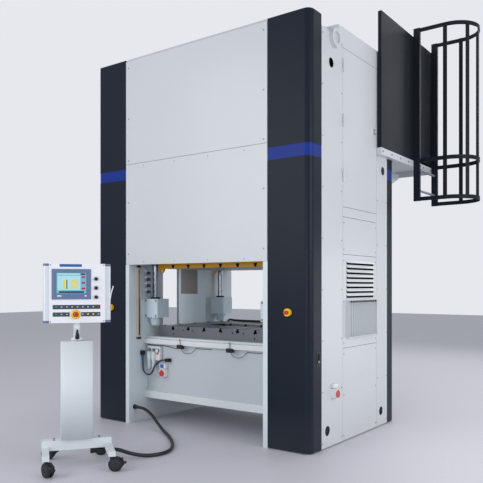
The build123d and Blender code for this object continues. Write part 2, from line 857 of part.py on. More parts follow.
def slide_body():
    """The slide with its four ears, which hold the guide pillars."""
    body = block(-slide_length / 2, slide_length / 2, -slide_depth / 2, slide_depth / 2, plate_top, slide_top)
    for sx in (-1, 1):
        for sy in (-1, 1):
            body += block(*sorted((sx * (slide_length / 2 - ear_root), sx * (pillar_x + ear_reach))),
                          *sorted((sy * (slide_depth / 2 - ear_root), sy * (pillar_y + ear_reach))),
                          ear_bottom, pillar_top)
            bore_start = (sx * pillar_x, sy * pillar_y, ear_bottom - 1)
            body -= rod("z", bore_start, pillar_top - ear_bottom + 2, pillar_radius)
    return body


def slide_plate():
    """The slide's bottom plate with its T-slots and four pointed bosses."""
    half_depth = bolster_depth / 2
    body = block(-bolster_length / 2, bolster_length / 2, -half_depth, half_depth, plate_bottom, plate_top)
    for x in t_slots:
        body -= t_slot(x, half_depth, plate_bottom, 1)
    for x in (-nose_x, nose_x):
        for y in (nose_front_y, nose_back_y):
            reach = min(nose_radius, bolster_length / 2 - nose_x, half_depth - abs(y))
            body += rod("-z", (x, y, plate_bottom), nose_step, reach)
            body += rod("-z", (x, y, plate_bottom - nose_step), nose_length - nose_step, reach, reach / 4)
    return body


def guide_pillars():
    """Four round pillars that go down from the slide into the guide housings."""
    length = pillar_top - pillar_bottom
    return [rod("z", (sx * pillar_x, sy * pillar_y, pillar_bottom), length, pillar_radius)
            for sx in (-1, 1) for sy in (-1, 1)]


def guide_housings():
    """Four guide housings on the inner walls, each with a closed cup below its bore."""
    housings = []
    for sx in (-1, 1):
        for sy in (-1, 1):
            centre_y = sy * pillar_y
            body = block(*sorted((sx * (wall_in - housing_width), sx * wall_in)),
                         centre_y - housing_depth / 2, centre_y + housing_depth / 2,
                         housing_low, housing_high)
            edges = body.edges().filter_by(Axis.Z).sort_by(lambda e: abs(e.center().X))[:2]
            body = fillet(edges, housing_round)
            x = sx * pillar_x
            body += rod("-z", (x, centre_y, housing_low), cup_height, cup_top_radius, cup_low_radius)
            depth = pillar_entry + stroke + cup_floor
            body -= rod("-z", (x, centre_y, housing_high + 1), depth + 1, pillar_radius + running_fit)
            housings.append(body)
    return housings


def wall_pieces():
    """Small pieces inside the die space: light curtains, the lubrication manifold and two switches."""
    curtains = [block(*sorted((sx * (wall_in - curtain_width), sx * wall_in)), curtain_front,
                      curtain_front + curtain_depth, ledge_high, cover_bottom - sheet) for sx in (-1, 1)]
    manifold_y = manifold_front + manifold_length / 2
    top = housing_high + manifold_height
    manifold = block(-wall_in, -wall_in + manifold_depth, manifold_y - manifold_length / 2,
                     manifold_y + manifold_length / 2, housing_high, top)
    for i in range(valve_count):
        z = top - valve_first - i * valve_pitch
        manifold += block(-wall_in + manifold_depth, -wall_in + manifold_depth + valve_size,
                          manifold_y - valve_size / 2, manifold_y + valve_size / 2,
                          z - valve_size / 2, z + valve_size / 2)
    face = -bed_half - ledge_depth
    switches = [block(x - switch_length / 2, x + switch_length / 2, face, face + switch_depth,
                      ledge_low - switch_height, ledge_low) for x in (-switch_x, switch_x)]
    return curtains, manifold, switches


def gland(start, radius, length):
    """A cable gland that points along +X: a hexagonal nut, then a tapered strain relief."""
    nut_length = length * gland_nut_share
    nut_plane = Plane(origin=start, z_dir=(1, 0, 0))
    body = extrude(nut_plane * RegularPolygon(radius * gland_nut_ratio, 6), nut_length)
    relief_start = (start[0] + nut_length, start[1], start[2])
    return body + rod("x", relief_start, length - nut_length, radius, radius * gland_taper)


def cord_tube(steps, radius, label):
    """A tube along straight runs joined by arcs that are as large as the runs allow."""
    points = [Vector(*step) for step in steps]
    radii = []
    for a, b, c in zip(points, points[1:], points[2:]):
        turn = math.radians((b - a).get_angle(c - b))
        radii.append(0.45 * min((b - a).length, (c - b).length) / math.tan(turn / 2))
    path = FilletPolyline(*points, radius=radii)
    section = Plane(origin=points[0], z_dir=points[1] - points[0]) * Circle(radius)
    tube = sweep(section, path=path)
    expected = math.pi * radius ** 2 * path.length
    print(label, "length", round(path.length, 1), "volume ratio", round(tube.volume / expected, 4),
          "smallest radius", round(min(radii), 1), "radii", [round(r) for r in radii])
    return tube


def socket(faces_front):
    """A power socket's housing with its bore and the lid's pin: on the bed's front or on the right side."""
    half = socket_width / 2
    body = block(0, socket_depth, -half, half, -socket_height / 2, socket_height / 2)
    body = fillet(body.edges().filter_by(Axis.X), socket_round)
    body -= rod("x", (socket_depth - socket_bore_depth, 0, -socket_bore_drop),
                socket_bore_depth + 1, socket_bore)
    pin_x = socket_depth + socket_lid_thickness / 2 + soft_gap
    pin_z = socket_lid_radius - lid_pin_drop
    for sy in (-1, 1):
        ear = sorted((sy * socket_ear_inner, sy * socket_ear_outer))
        body += block(socket_depth - socket_ear_depth, pin_x + lid_pin_radius, *ear,
                      pin_z - lid_pin_radius, pin_z + lid_pin_radius)
    body += rod("y", (pin_x, -socket_ear_inner, pin_z), 2 * socket_ear_inner, lid_pin_radius)
    lid_back = socket_depth + soft_gap
    lug_half = socket_ear_inner - lid_side_gap
    lid = rod("x", (lid_back, 0, -socket_bore_drop), socket_lid_thickness, socket_lid_radius)
    lid += block(lid_back, lid_back + socket_lid_thickness, -lug_half, lug_half, pin_z - lid_lug, pin_z)
    lid += rod("y", (pin_x, -lug_half, pin_z), 2 * lug_half, socket_lid_thickness / 2)
    lid -= rod("y", (pin_x, -lug_half - 1, pin_z), 2 * lug_half + 2, lid_pin_radius + hinge_fit)
    if faces_front:
        place = Pos(front_socket_inset - wall_in, -bed_half, front_socket_z) * Rot(0, 0, -90)
    else:
        place = Pos(half_width, front + side_socket_inset, side_socket_z)
    return place * body, place * lid


def stop_button(place):
    """An emergency stop: a fixed ring, and a mushroom head on a stem that slides in it."""
    ring = rod("-y", (0, 0, 0), stop_ring_depth, stop_ring_radius)
    ring -= rod("-y", (0, 1, 0), stop_ring_depth + 2, stop_stem_radius + stop_stem_fit)
    gap = stop_travel + soft_gap
    head_depth = stop_knob_depth - stop_crown
    head = rod("-y", (0, -stop_ring_depth - gap, 0), head_depth, stop_knob_radius)
    head += rod("-y", (0, -stop_ring_depth - gap - head_depth, 0), stop_crown, stop_knob_radius,
                stop_knob_radius - stop_crown_round)
    head += rod("-y", (0, -gap, 0), stop_ring_depth + 1, stop_stem_radius)
    return place * ring, place * head


def platform():
    """The deck with its brackets, the guard sheets with their posts, the caged ladder and its gate."""
    deck = block(deck_left, deck_right, back, deck_back, deck_top - deck_depth, deck_top)
    deck += block(half_width, deck_right, deck_front, back, deck_top - deck_depth, deck_top)
    room = block(deck_left + deck_plate, deck_right - deck_plate, back + deck_plate, deck_back - deck_plate,
                 deck_top - deck_depth - 1, deck_top - deck_plate)
    deck -= room
    for x in bracket_x:
        outline = Polyline((back, deck_top - deck_depth), (back + bracket_reach, deck_top - deck_depth),
                           (back + bracket_reach, deck_top - deck_depth - bracket_tip),
                           (back, deck_top - deck_depth - bracket_drop), close=True)
        sheet_face = Plane.YZ.offset(x) * make_face(outline)
        deck += extrude(sheet_face, bracket_thickness, dir=(1, 0, 0))
    guard_x = deck_right - guard_thickness
    ladder_back = ladder_front + ladder_width
    post_y = ladder_front - stile_thickness - guard_post
    sheets = [block(guard_x, deck_right, deck_front, post_y, deck_top, guard_top),
              block(deck_left, guard_x, deck_back - guard_thickness, deck_back, deck_top, guard_top),
              block(deck_left, deck_left + guard_thickness, back + guard_setback,
                    deck_back - guard_thickness, deck_top, guard_top)]
    posts = [block(deck_right - guard_post, deck_right, post_y, post_y + guard_post, deck_top, guard_top),
             block(guard_x - guard_post, guard_x, deck_front, deck_front + guard_edge, deck_top, guard_top)]
    ladder = []
    for y in (ladder_front - stile_thickness, ladder_back):
        ladder.append(block(deck_right, deck_right + stile_depth, y, y + stile_thickness,
                            ladder_bottom, cage_hoops[-1] + cage_bar / 2))
    frame = ladder[0] + ladder[1]
    rung_x = deck_right + stile_depth / 2
    count = int((deck_top - ladder_bottom - rung_first) // rung_pitch) + 1
    for i in range(count):
        frame += rod("y", (rung_x, ladder_front - 1, ladder_bottom + rung_first + i * rung_pitch),
                     ladder_width + 2, rung_radius)
    cage_x = deck_right + stile_depth
    middle_y = ladder_front + ladder_width / 2
    centre_x = cage_x + cage_straight
    for z in cage_hoops:
        hoop = SlotOverall(4 * cage_straight, 2 * cage_radius)
        ring = Pos(centre_x + cage_radius - 2 * cage_straight, middle_y, z - cage_bar / 2) \
            * extrude(hoop - offset(hoop, -cage_bar_thickness), cage_bar)
        frame += ring & block(cage_x, centre_x + 2 * cage_radius, middle_y - 2 * cage_radius,
                              middle_y + 2 * cage_radius, z - cage_bar, z + cage_bar)
    inner = cage_radius - cage_bar_thickness
    for angle in cage_bar_angles:
        bar = block(inner - cage_bar_thickness, inner, -cage_bar / 2, cage_bar / 2,
                    cage_hoops[0] - cage_bar / 2, cage_hoops[-1] + cage_bar / 2)
        frame += Pos(centre_x, middle_y, 0) * Rot(0, 0, angle) * bar
    hinge = (guard_x - gate_inset, post_y + guard_post + gate_hinge_radius + gate_gap)
    gate_y1 = ladder_back - gate_gap
    gate = block(hinge[0] - guard_thickness, hinge[0], hinge[1], gate_y1, deck_top + gate_lift, guard_top)
    gate = gate - rod("z", (*hinge, deck_top), guard_top - deck_top + 1, gate_hinge_radius)
    for z in (deck_top + gate_hinge_low, guard_top - gate_hinge_drop):
        gate += rod("z", (*hinge, z), gate_knuckle, gate_hinge_radius)
        gate -= rod("z", (*hinge, z - 1), gate_knuckle + 2, hinge_pin_radius + hinge_fit)
        posts[0] += block(hinge[0] - hinge_pin_radius - 1, hinge[0] + hinge_pin_radius + 1,
                          post_y + guard_post, hinge[1], z - gate_lug - soft_gap, z - soft_gap)
        posts[0] += rod("z", (*hinge, z - gate_lug - soft_gap), gate_knuckle + gate_lug, hinge_pin_radius)
    return deck, sheets + posts, frame, gate, hinge


def caster():
    """One swivel caster with its kingpin on the Z axis: the fork with the axle, and its two wheels."""
    plate_low = caster_plate_low - fork_plate
    inner = wheel_gap / 2
    fork = rod("z", (0, 0, plate_low), fork_plate, arm_width / 2 - arm_overhang)
    fork += rod("z", (0, 0, plate_low), arm_height - 2, kingpin_radius)
    fork += block(fork_clearance - inner, inner - fork_clearance, -fork_neck,
                  caster_trail + 2 * axle_radius, wheel_radius - 2 * axle_radius, plate_low + 1)
    reach = inner + wheel_width + axle_end
    fork += rod("x", (-reach, caster_trail, wheel_radius), 2 * reach, axle_radius)
    pair = []
    for low in (-inner - wheel_width, inner):
        tyre = rod("x", (low, caster_trail, wheel_radius), wheel_width, wheel_radius)
        tyre = fillet(tyre.edges(), tyre_round)
        pair.append(tyre - rod("x", (low - 1, caster_trail, wheel_radius), wheel_width + 2,
                               axle_radius + wheel_bore_fit))
    return fork, pair


def pedestal():
    """The pedestal in its own frame: base, column and neck, then the panel's pieces and the casters."""
    half_track = caster_track / 2
    arm_low = caster_plate_low + soft_gap
    axle_y = (-caster_base / 2 - caster_trail, caster_base / 2 - caster_trail)
    margin = caster_plate_half + arm_overhang
    base = block(-half_track - arm_width / 2, half_track + arm_width / 2, -beam_width / 2, beam_width / 2,
                 arm_low + beam_rise, arm_low + beam_rise + beam_height)
    for x in (-half_track, half_track):
        base += block(x - arm_width / 2, x + arm_width / 2, axle_y[0] - margin, axle_y[1] + margin,
                      arm_low, arm_low + arm_height)
        for y in axle_y:
            base -= rod("z", (x, y, arm_low - 1), arm_height - kingpin_cover, kingpin_radius + running_fit)
    column = block(-column_width / 2, column_width / 2, -column_depth / 2, column_depth / 2,
                   arm_low + beam_height, column_high)
    base += fillet(column.edges().filter_by(Axis.Z), column_round)
    base += rod("z", (0, 0, column_high - 1), neck_split - column_high + 1, neck_radius)
    base -= rod("z", (0, 0, neck_split - neck_pin_length - 1), neck_pin_length + 2,
                neck_pin_radius + running_fit)
    lever_z = (column_high + neck_split) / 2
    base += rod("-y", (0, -neck_radius + 4, lever_z), neck_lever, neck_pin_radius / 2)
    base += Pos(0, -neck_radius - neck_lever + 4, lever_z) * Sphere(neck_pin_radius)

    housing = block(-panel_width / 2, panel_width / 2, panel_front, panel_back, panel_low, panel_high)
    housing = fillet(housing.edges().filter_by(Axis.Z).group_by(Axis.Y)[-1], panel_round)
    housing += rod("z", (0, 0, neck_split + turn_gap), panel_low - neck_split, neck_radius)
    housing += rod("z", (0, 0, neck_split - neck_pin_length), neck_pin_length + 2, neck_pin_radius)
    knobs = []
    for z in knob_heights:
        housing -= rod("y", (knob_x, panel_front - 1, z), knob_depth, knob_stem_radius + running_fit)
        knob = rod("-y", (knob_x, panel_front - soft_gap, z), knob_depth, knob_radius,
                   knob_radius - knob_draft)
        knob += rod("y", (knob_x, panel_front - soft_gap - 1, z), knob_depth - 4, knob_stem_radius)
        knob += block(knob_x - knob_pointer_half, knob_x + knob_pointer_half,
                      panel_front - knob_depth - knob_grip - 1, panel_front - knob_depth + knob_grip,
                      z - knob_radius + knob_grip, z + knob_radius - knob_grip)
        knobs.append(knob)

    handles = []
    for sx in (-1, 1):
        inner_x = sx * panel_width / 2
        outer_x = sx * (panel_width / 2 + handle_width)
        y0 = panel_front + handle_inset
        levels = (panel_low, panel_low + handle_cap, panel_high - handle_cap, panel_high)
        for low, high in zip(levels, levels[1:]):
            bar = block(*sorted((inner_x, outer_x)), y0, y0 + handle_depth, low, high)
            outer_edges = [e for e in bar.edges().filter_by(Axis.Z) if abs(e.center().X - outer_x) < 1]
            handles.append(fillet(outer_edges, panel_round))

    y = panel_front
    screen = block(screen_left, screen_right, y - screen_depth, y, screen_low, screen_high)
    screen -= block(screen_left + screen_border, screen_right - screen_border, y - screen_depth - 1,
                    y - screen_depth / 2, screen_low + screen_border, screen_high - screen_border)
    keys = []
    for z in key_rows:
        for i in range(key_columns):
            x = (i - (key_columns - 1) / 2) * key_pitch
            near_stop = math.hypot(x - panel_stop_x, z - panel_stop_z) < stop_ring_radius + key_size * 0.75
            if not near_stop:
                keys.append(block(x - key_size / 2, x + key_size / 2, y - key_depth, y,
                                  z - key_size / 2, z + key_size / 2))
    ring, stop_head = stop_button(Pos(panel_stop_x, panel_front, panel_stop_z))
    keys.append(ring)

    forks = []
    wheels = []
    corners = [(x, y) for x in (-half_track, half_track) for y in axle_y]
    for (x, y), turn in zip(corners, caster_turns):
        fork, pair = caster()
        corner = Pos(x, y, 0) * Rot(0, 0, turn)
        forks.append(corner * fork)
        wheels.append([corner * wheel for wheel in pair])

    hose_end_z = hose_steps[-1][2]
    connector_start = connector_x - connector_length
    connector = rod("x", (connector_start, 0, hose_end_z), connector_length, connector_radius)
    connector += block(connector_start + connector_hanger_low, connector_x - connector_hanger_high,
                       -connector_hanger_half, connector_hanger_half, hose_end_z, arm_low + beam_rise)
    return base, housing, knobs, handles, screen, keys, stop_head, forks, wheels, connector


def build():
    """Builds every node."""
    right_frame = side_frame()
    add("right_side_frame", right_frame)
    add("left_side_frame", other_side(right_frame))
    add("crown", crown())
    add("bed", bed())
    add("bolster", bolster())
    right_column = column_cover(front, front_column_depth)
    rear_column = column_cover(back, rear_column_depth)
    add("right_column_cover", right_column)
    add("left_column_cover", other_side(right_column))
    add("rear_column_covers", rear_column, other_side(rear_column))
    add("front_lower_cover", front_cover(cover_bottom, cover_seam_z, False))
    upper = front_cover(cover_seam_z + seam, press_height, True)
    add("front_upper_cover", upper)
    rear_upper = mirror(upper, about=Plane.XZ)
    rear_lower = mirror(front_cover(cover_bottom, cover_seam_z, False), about=Plane.XZ)
    add("rear_covers", rear_upper, rear_lower)
    roof = tray(-half_width, half_width, roof_front, roof_back, frame_height, press_height, "-z")
    front_roof = tray(-cover_in, cover_in, front + cover_depth, roof_front - seam, frame_height,
                      frame_height + front_roof_height, "-z")
    rear_roof = tray(-cover_in, cover_in, roof_back + seam, back - cover_depth, frame_height,
                     frame_height + front_roof_height, "-z")
    add("roof_covers", roof, front_roof, rear_roof)
    front_strip, rear_strip, lower, middle, rail = side_trays()
    fixed_hinges, door_hinges = hinge_parts()
    for knuckle in fixed_hinges:
        front_strip += knuckle
    add("right_side_panels", front_strip, rear_strip, lower, middle, rail)
    add("louver_panel", louver_panel())
    add("left_side_panels", *left_trays())
    add("flywheel_door", flywheel_door())

    add("eccentric_shaft", eccentric_shaft())
    add("main_bearings", *main_bearings())
    add("connecting_rods", *connecting_rods())
    add("flywheel", flywheel())
    add("drive_belt", drive_belt())
    add("drive_motor", drive_motor())
    add("motor_pulley", motor_pulley())
    add("clutch_brake", clutch_brake())
    add("slide_body", slide_body())
    add("slide_plate", slide_plate())
    add("guide_pillars", *guide_pillars())
    add("guide_housings", *guide_housings())

    curtains, manifold, switches = wall_pieces()
    add("light_curtains", *curtains)
    hose_start = hose_steps[0]
    wall_gland = gland((-wall_in, hose_start[1], hose_start[2]), gland_radius, hose_start[0] + wall_in)
    service_start = service_steps[0]
    service_end = service_steps[-1]
    inlet = block(-wall_in, service_start[0] + inlet_half, service_start[1] - inlet_half,
                  service_start[1] + inlet_half, service_start[2], service_start[2] + fitting_length)
    outlet = block(service_end[0], service_end[0] + fitting_length, service_end[1] - outlet_half, -bed_half,
                   service_end[2] - inlet_half, service_end[2] + inlet_half)
    add("wall_fittings", wall_gland, inlet, outlet, manifold, *switches)
    side_socket, side_lid = socket(False)
    front_socket, front_lid = socket(True)
    add("socket_bodies", side_socket, front_socket)
    add("side_socket_lid", side_lid)
    add("front_socket_lid", front_lid)
    stop_x = cover_in + stop_inset
    right_ring, right_head = stop_button(Pos(stop_x, front, stop_z))
    left_ring, left_head = stop_button(Pos(-stop_x, front, stop_z))
    add("stop_rings", right_ring, left_ring)
    add("right_stop_knob", right_head)
    add("left_stop_knob", left_head)

    deck, guards, ladder, gate, hinge = platform()
    add("platform_deck", deck)
    add("guard_panels", *guards)
    add("ladder_cage", ladder)
    add("ladder_gate", gate)

    place = Pos(pedestal_x, pedestal_y, 0) * Rot(0, 0, pedestal_turn)
    base, housing, knobs, handles, screen, keys, stop_head, forks, wheels, connector = pedestal()
    add("pedestal_frame", place * base)
    add("panel_housing", place * housing)
    add("panel_handles", *[place * handle for handle in handles])
    add("panel_screen", place * screen)
    add("panel_keys", *[place * key for key in keys])
    add("panel_stop_knob", place * stop_head)
    add("hose_connector", place * connector)
    for name, knob in zip(("lower_knob", "middle_knob", "upper_knob"), knobs):
        add(name, place * knob)
    corners = ("front_left", "rear_left", "front_right", "rear_right")
    for corner, fork, pair in zip(corners, forks, wheels):
        add(corner + "_caster_fork", place * fork)
        add(corner + "_caster_wheel", *[place * wheel for wheel in pair])

    add("control_hose", cord_tube(hose_steps, hose_radius, "control hose"))
    add("service_hose", cord_tube(service_steps, service_radius, "service hose"))
    print("gate hinge", [round(v, 2) for v in hinge])


build()
os.makedirs("parts", exist_ok=True)
for name, shape in parts.items():
    export_step(shape, f"parts/{name}.step")
print(len(parts), "nodes")
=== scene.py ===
"""Looks of a high-speed blanking press with its control pedestal, rear platform and caged ladder."""

import logging
import math
from dataclasses import dataclass
from enum import Enum
from functools import cache
from typing import Callable, Iterable, Optional, Sequence

import bmesh
import bpy
from mathutils import Matrix, Vector


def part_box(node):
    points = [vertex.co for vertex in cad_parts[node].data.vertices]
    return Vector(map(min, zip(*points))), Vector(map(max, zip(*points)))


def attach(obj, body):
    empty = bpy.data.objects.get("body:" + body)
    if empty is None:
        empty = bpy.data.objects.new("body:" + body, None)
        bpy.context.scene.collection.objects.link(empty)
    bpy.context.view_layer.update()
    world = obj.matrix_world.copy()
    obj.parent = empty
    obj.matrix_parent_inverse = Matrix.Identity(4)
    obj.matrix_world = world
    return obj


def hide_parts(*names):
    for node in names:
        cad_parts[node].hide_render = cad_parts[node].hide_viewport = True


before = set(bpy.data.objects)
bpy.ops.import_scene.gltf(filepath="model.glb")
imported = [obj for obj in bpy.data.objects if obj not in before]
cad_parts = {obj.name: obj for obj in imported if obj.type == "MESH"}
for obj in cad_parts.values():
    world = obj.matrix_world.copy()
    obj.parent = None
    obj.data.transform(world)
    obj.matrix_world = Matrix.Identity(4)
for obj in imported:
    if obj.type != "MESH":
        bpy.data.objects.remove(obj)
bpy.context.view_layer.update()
log = logging.getLogger("press")

Point = tuple[float, float, float]
Pair = tuple[float, float]
Pairs = tuple[Pair, ...]
Route = tuple[Point, ...]
Places = tuple[float, ...]
Socket = bpy.types.NodeSocket
Tree = bpy.types.NodeTree
# A block's lowest corner, highest corner, width of its softened edges and number of its finish
Block = tuple[Point, Point, float, int]
# A ring of blocks: its number of them, its radius and the size of each
Ring = tuple[int, float, Point]

STILL = Matrix.Identity(4)
QUARTER = math.pi / 2
DUST_TONE = "#A6A29C"
DUST_REACH = 0.45


def linear(code: str) -> tuple[float, float, float, float]:
    """Turns an sRGB hex colour linear.

    Args:
        code: The colour as "#RRGGBB".

    Returns:
        Red, green, blue and a full alpha for a shader.
    """
    parts = [int(code[i:i + 2], 16) / 255 for i in (1, 3, 5)]
    red, green, blue = (p / 12.92 if p <= 0.04045 else ((p + 0.055) / 1.055) ** 2.4 for p in parts)
    return red, green, blue, 1.0


def add_node(tree: Tree, kind: str, inputs: Optional[dict] = None, out: int | str = 0,
             **settings: object) -> Optional[Socket]:
    """Adds a node with its settings and links.

    Args:
        tree: The shader or geometry tree.
        kind: The node's type name.
        inputs: Input name or number to its value, or to the output socket that feeds it.
        out: The name or number of the output that is wanted.
        settings: Attribute name to value.

    Returns:
        The wanted output, if the node has any.
    """
    node = tree.nodes.new(kind)
    for name, value in settings.items():
        setattr(node, name, value)
    for key, value in (inputs or {}).items():
        if isinstance(value, Socket):
            tree.links.new(value, node.inputs[key])
        else:
            node.inputs[key].default_value = value
    return node.outputs[out] if node.outputs else None


class Grain(Enum):
    """The way a surface was finished, as the scale of its marks along each axis."""
    NONE = (1.0, 1.0, 1.0)
    ALONG_X = (0.04, 1.0, 1.0)
    ALONG_Y = (1.0, 0.04, 1.0)
    ALONG_Z = (1.0, 1.0, 0.04)


@dataclass(frozen=True)
class Finish:
    """A surface: its colour and gloss, a drift of tone as wide as a panel, and the relief of its making."""
    name: str
    tone: str
    roughness: float
    metallic: float = 0.0
    drift: float = 0.06
    drift_mm: float = 700.0
    relief_mm: float = 14.0
    relief: float = 0.02
    grain: Grain = Grain.NONE
    coat: float = 0.0
    dust: float = 0.0
    specular: float = 0.5
    glow: float = 0.0

    def colour(self, tree: Tree, place: Socket) -> Socket:
        """The base colour with a slow drift of tone, and dust near the floor.

        Args:
            tree: The material's tree.
            place: Object coordinates.

        Returns:
            The colour.
        """
        tone = linear(self.tone)
        dark = (*(c * (1 - self.drift) for c in tone[:3]), 1.0)
        drift = add_node(tree, "ShaderNodeTexNoise", {"Scale": 1000 / self.drift_mm, "Detail": 3.0,
                                                      "Roughness": 0.55, "Vector": place})
        clean = add_node(tree, "ShaderNodeMix", {0: drift, 6: dark, 7: tone}, 2, data_type="RGBA")
        if not self.dust:
            return clean
        height = add_node(tree, "ShaderNodeSeparateXYZ", {0: place}, 2)
        low = add_node(tree, "ShaderNodeMapRange", {0: height, 1: 0.0, 2: DUST_REACH, 3: self.dust, 4: 0.0})
        patch = add_node(tree, "ShaderNodeMath", {0: low, 1: drift}, operation="MULTIPLY")
        return add_node(tree, "ShaderNodeMix", {0: patch, 6: clean, 7: linear(DUST_TONE)}, 2,
                        data_type="RGBA")

    def height(self, tree: Tree, place: Socket) -> Socket:
        """The relief of the surface, from 0 to 1.

        Args:
            tree: The material's tree.
            place: Object coordinates.

        Returns:
            The height.
        """
        turned = add_node(tree, "ShaderNodeMapping", {"Scale": self.grain.value, "Vector": place})
        return add_node(tree, "ShaderNodeTexNoise", {"Scale": 1000 / self.relief_mm, "Detail": 2.0,
                                                     "Vector": turned})

    @cache
    def material(self) -> bpy.types.Material:
        """Makes the material at its first use.

        Returns:
            The material, named for the finish.
        """
        made = bpy.data.materials.new(self.name)
        made.use_nodes = True
        tree = made.node_tree
        tree.nodes.clear()
        place = add_node(tree, "ShaderNodeTexCoord", out="Object")
        height = self.height(tree, place)
        gloss = add_node(tree, "ShaderNodeMapRange", {0: height, 3: self.roughness * 0.85,
                                                      4: self.roughness * 1.15})
        bump = add_node(tree, "ShaderNodeBump", {"Strength": self.relief * 10, "Distance": 0.001,
                                                 "Height": height})
        inputs = {"Metallic": self.metallic, "Coat Weight": self.coat, "Coat Roughness": 0.12,
                  "Specular IOR Level": self.specular, "Base Color": self.colour(tree, place),
                  "Roughness": gloss, "Normal": bump}
        if self.glow:
            inputs |= {"Emission Color": linear(self.tone), "Emission Strength": self.glow}
        add_node(tree, "ShaderNodeOutputMaterial", {0: add_node(tree, "ShaderNodeBsdfPrincipled", inputs)})
        return made

    def dress(self, *nodes: str) -> None:
        """Gives CAD nodes this finish.

        Args:
            nodes: Their names.
        """
        for name in nodes:
            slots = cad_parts[name].data.materials
            slots.clear()
            slots.append(self.material())
            log.info("dressed %s with %s", name, self.name)


@dataclass(frozen=True)
class BandedEnamel(Finish):
    """A finish with one band of another colour all round, between two heights."""
    band_tone: str = "#2440A8"
    band_low: float = 2.875
    band_high: float = 3.0
    lap: float = 0.0005

    def colour(self, tree: Tree, place: Socket) -> Socket:
        """The finish's colour, with the band between its two heights.

        Args:
            tree: The material's tree.
            place: Object coordinates.

        Returns:
            The colour.
        """
        base = super().colour(tree, place)
        height = add_node(tree, "ShaderNodeSeparateXYZ", {0: place}, 2)
        above = add_node(tree, "ShaderNodeMath", {0: height, 1: self.band_low - self.lap},
                         operation="GREATER_THAN")
        below = add_node(tree, "ShaderNodeMath", {0: height, 1: self.band_high + self.lap},
                         operation="LESS_THAN")
        inside = add_node(tree, "ShaderNodeMath", {0: above, 1: below}, operation="MULTIPLY")
        return add_node(tree, "ShaderNodeMix", {0: inside, 6: base, 7: linear(self.band_tone)}, 2,
                        data_type="RGBA")


@dataclass(frozen=True)
class FacedEnamel(Finish):
    """A slotted plate: one tone on its sides, another on its ground faces, and painted shade on its slots'
    walls.
    """
    face_tone: str = "#9DA1A6"
    # The painted shade on the slots' walls, and how far from the middle the slots reach
    slot_shade_tone: str = "#15171B"
    slot_reach: float = 0.70
    squareness: float = 0.9

    def colour(self, tree: Tree, place: Socket) -> Socket:
        """The tone of the sides, of the ground faces, and the painted shade on the slots' walls.

        Args:
            tree: The material's tree.
            place: Object coordinates.

        Returns:
            The colour.
        """
        tone = super().colour(tree, place)
        normal = add_node(tree, "ShaderNodeNewGeometry", out="True Normal")
        facing = add_node(tree, "ShaderNodeSeparateXYZ", {0: normal}).node.outputs
        across = add_node(tree, "ShaderNodeSeparateXYZ", {0: place})
        marks = []
        for number, way, limit in ((facing[2], "GREATER_THAN", self.squareness),
                                   (facing[0], "GREATER_THAN", self.squareness),
                                   (across, "LESS_THAN", self.slot_reach)):
            size = add_node(tree, "ShaderNodeMath", {0: number}, operation="ABSOLUTE")
            marks.append(add_node(tree, "ShaderNodeMath", {0: size, 1: limit}, operation=way))
        # Faces that point along X near the middle are the slots' walls, painted dark as shade
        ground, wall, inner = marks
        slot_shade = add_node(tree, "ShaderNodeMath", {0: wall, 1: inner}, operation="MULTIPLY")
        for share, over in ((ground, self.face_tone), (slot_shade, self.slot_shade_tone)):
            tone = add_node(tree, "ShaderNodeMix", {0: share, 6: tone, 7: linear(over)}, 2,
                            data_type="RGBA")
        return tone


@dataclass(frozen=True)
class TreadPlate(Finish):
    """Rolled steel plate with raised bars at right angles, for feet to grip."""
    bar_mm: float = 34.0

    def height(self, tree: Tree, place: Socket) -> Socket:
        """The bars' relief, from a checker that turns each second bar.

        Args:
            tree: The material's tree.
            place: Object coordinates.

        Returns:
            The height.
        """
        scale = 1000 / self.bar_mm
        check = add_node(tree, "ShaderNodeTexChecker", {"Scale": scale, "Vector": place}, "Fac")
        bars = [add_node(tree, "ShaderNodeTexWave", {"Scale": scale / 4, "Vector": place}, "Fac",
                         bands_direction=way) for way in "XY"]
        return add_node(tree, "ShaderNodeMix", {0: check, 2: bars[0], 3: bars[1]}, data_type="FLOAT")


@dataclass(frozen=True)
class Moulded(Finish):
    """Injection-moulded nylon or ABS: even in tone, with its mould's fine texture."""
    drift_mm: float = 60.0
    relief_mm: float = 3.0


@dataclass(frozen=True)
class ScreenArea(Finish):
    """A lit area of the screen behind clear plastic, almost without relief."""
    relief: float = 0.002
    specular: float = 0.2
    glow: float = 0.1


# Two-pack enamel, sprayed on the column covers and the ladder: dark, softly glossy, with a faint orange peel
COLUMN_ENAMEL = BandedEnamel("column_enamel", "#19212E", 0.38, drift=0.12, relief=0.03, dust=0.06,
                             specular=0.14, band_tone="#173183")
DARK_ENAMEL = Finish("dark_enamel", "#1B2029", 0.5, drift=0.15, relief=0.03, specular=0.14)
# Light grey enamel on folded sheet: even and satin, so panels read by their seams
PANEL_ENAMEL = Finish("panel_enamel", "#CDD2D4", 0.38, drift=0.05, coat=0.15, dust=0.35)
# The same enamel brushed on the welded frame, bluer, less even, and as grey as the panels at the trunnions
FRAME_ENAMEL = BandedEnamel("frame_enamel", "#DAE5EA", 0.45, drift=0.10, relief_mm=25, relief=0.05,
                            dust=0.5, band_tone="#C8CDD0", band_low=3.9, band_high=4.4)
# The bed carries the frame's enamel with a greyer front between its lip and its ledge
BED_ENAMEL = BandedEnamel("bed_enamel", "#D9DFE2", 0.45, drift=0.08, relief_mm=25, relief=0.05, dust=0.2,
                          band_tone="#BBC2C8", band_low=0.362, band_high=0.928)
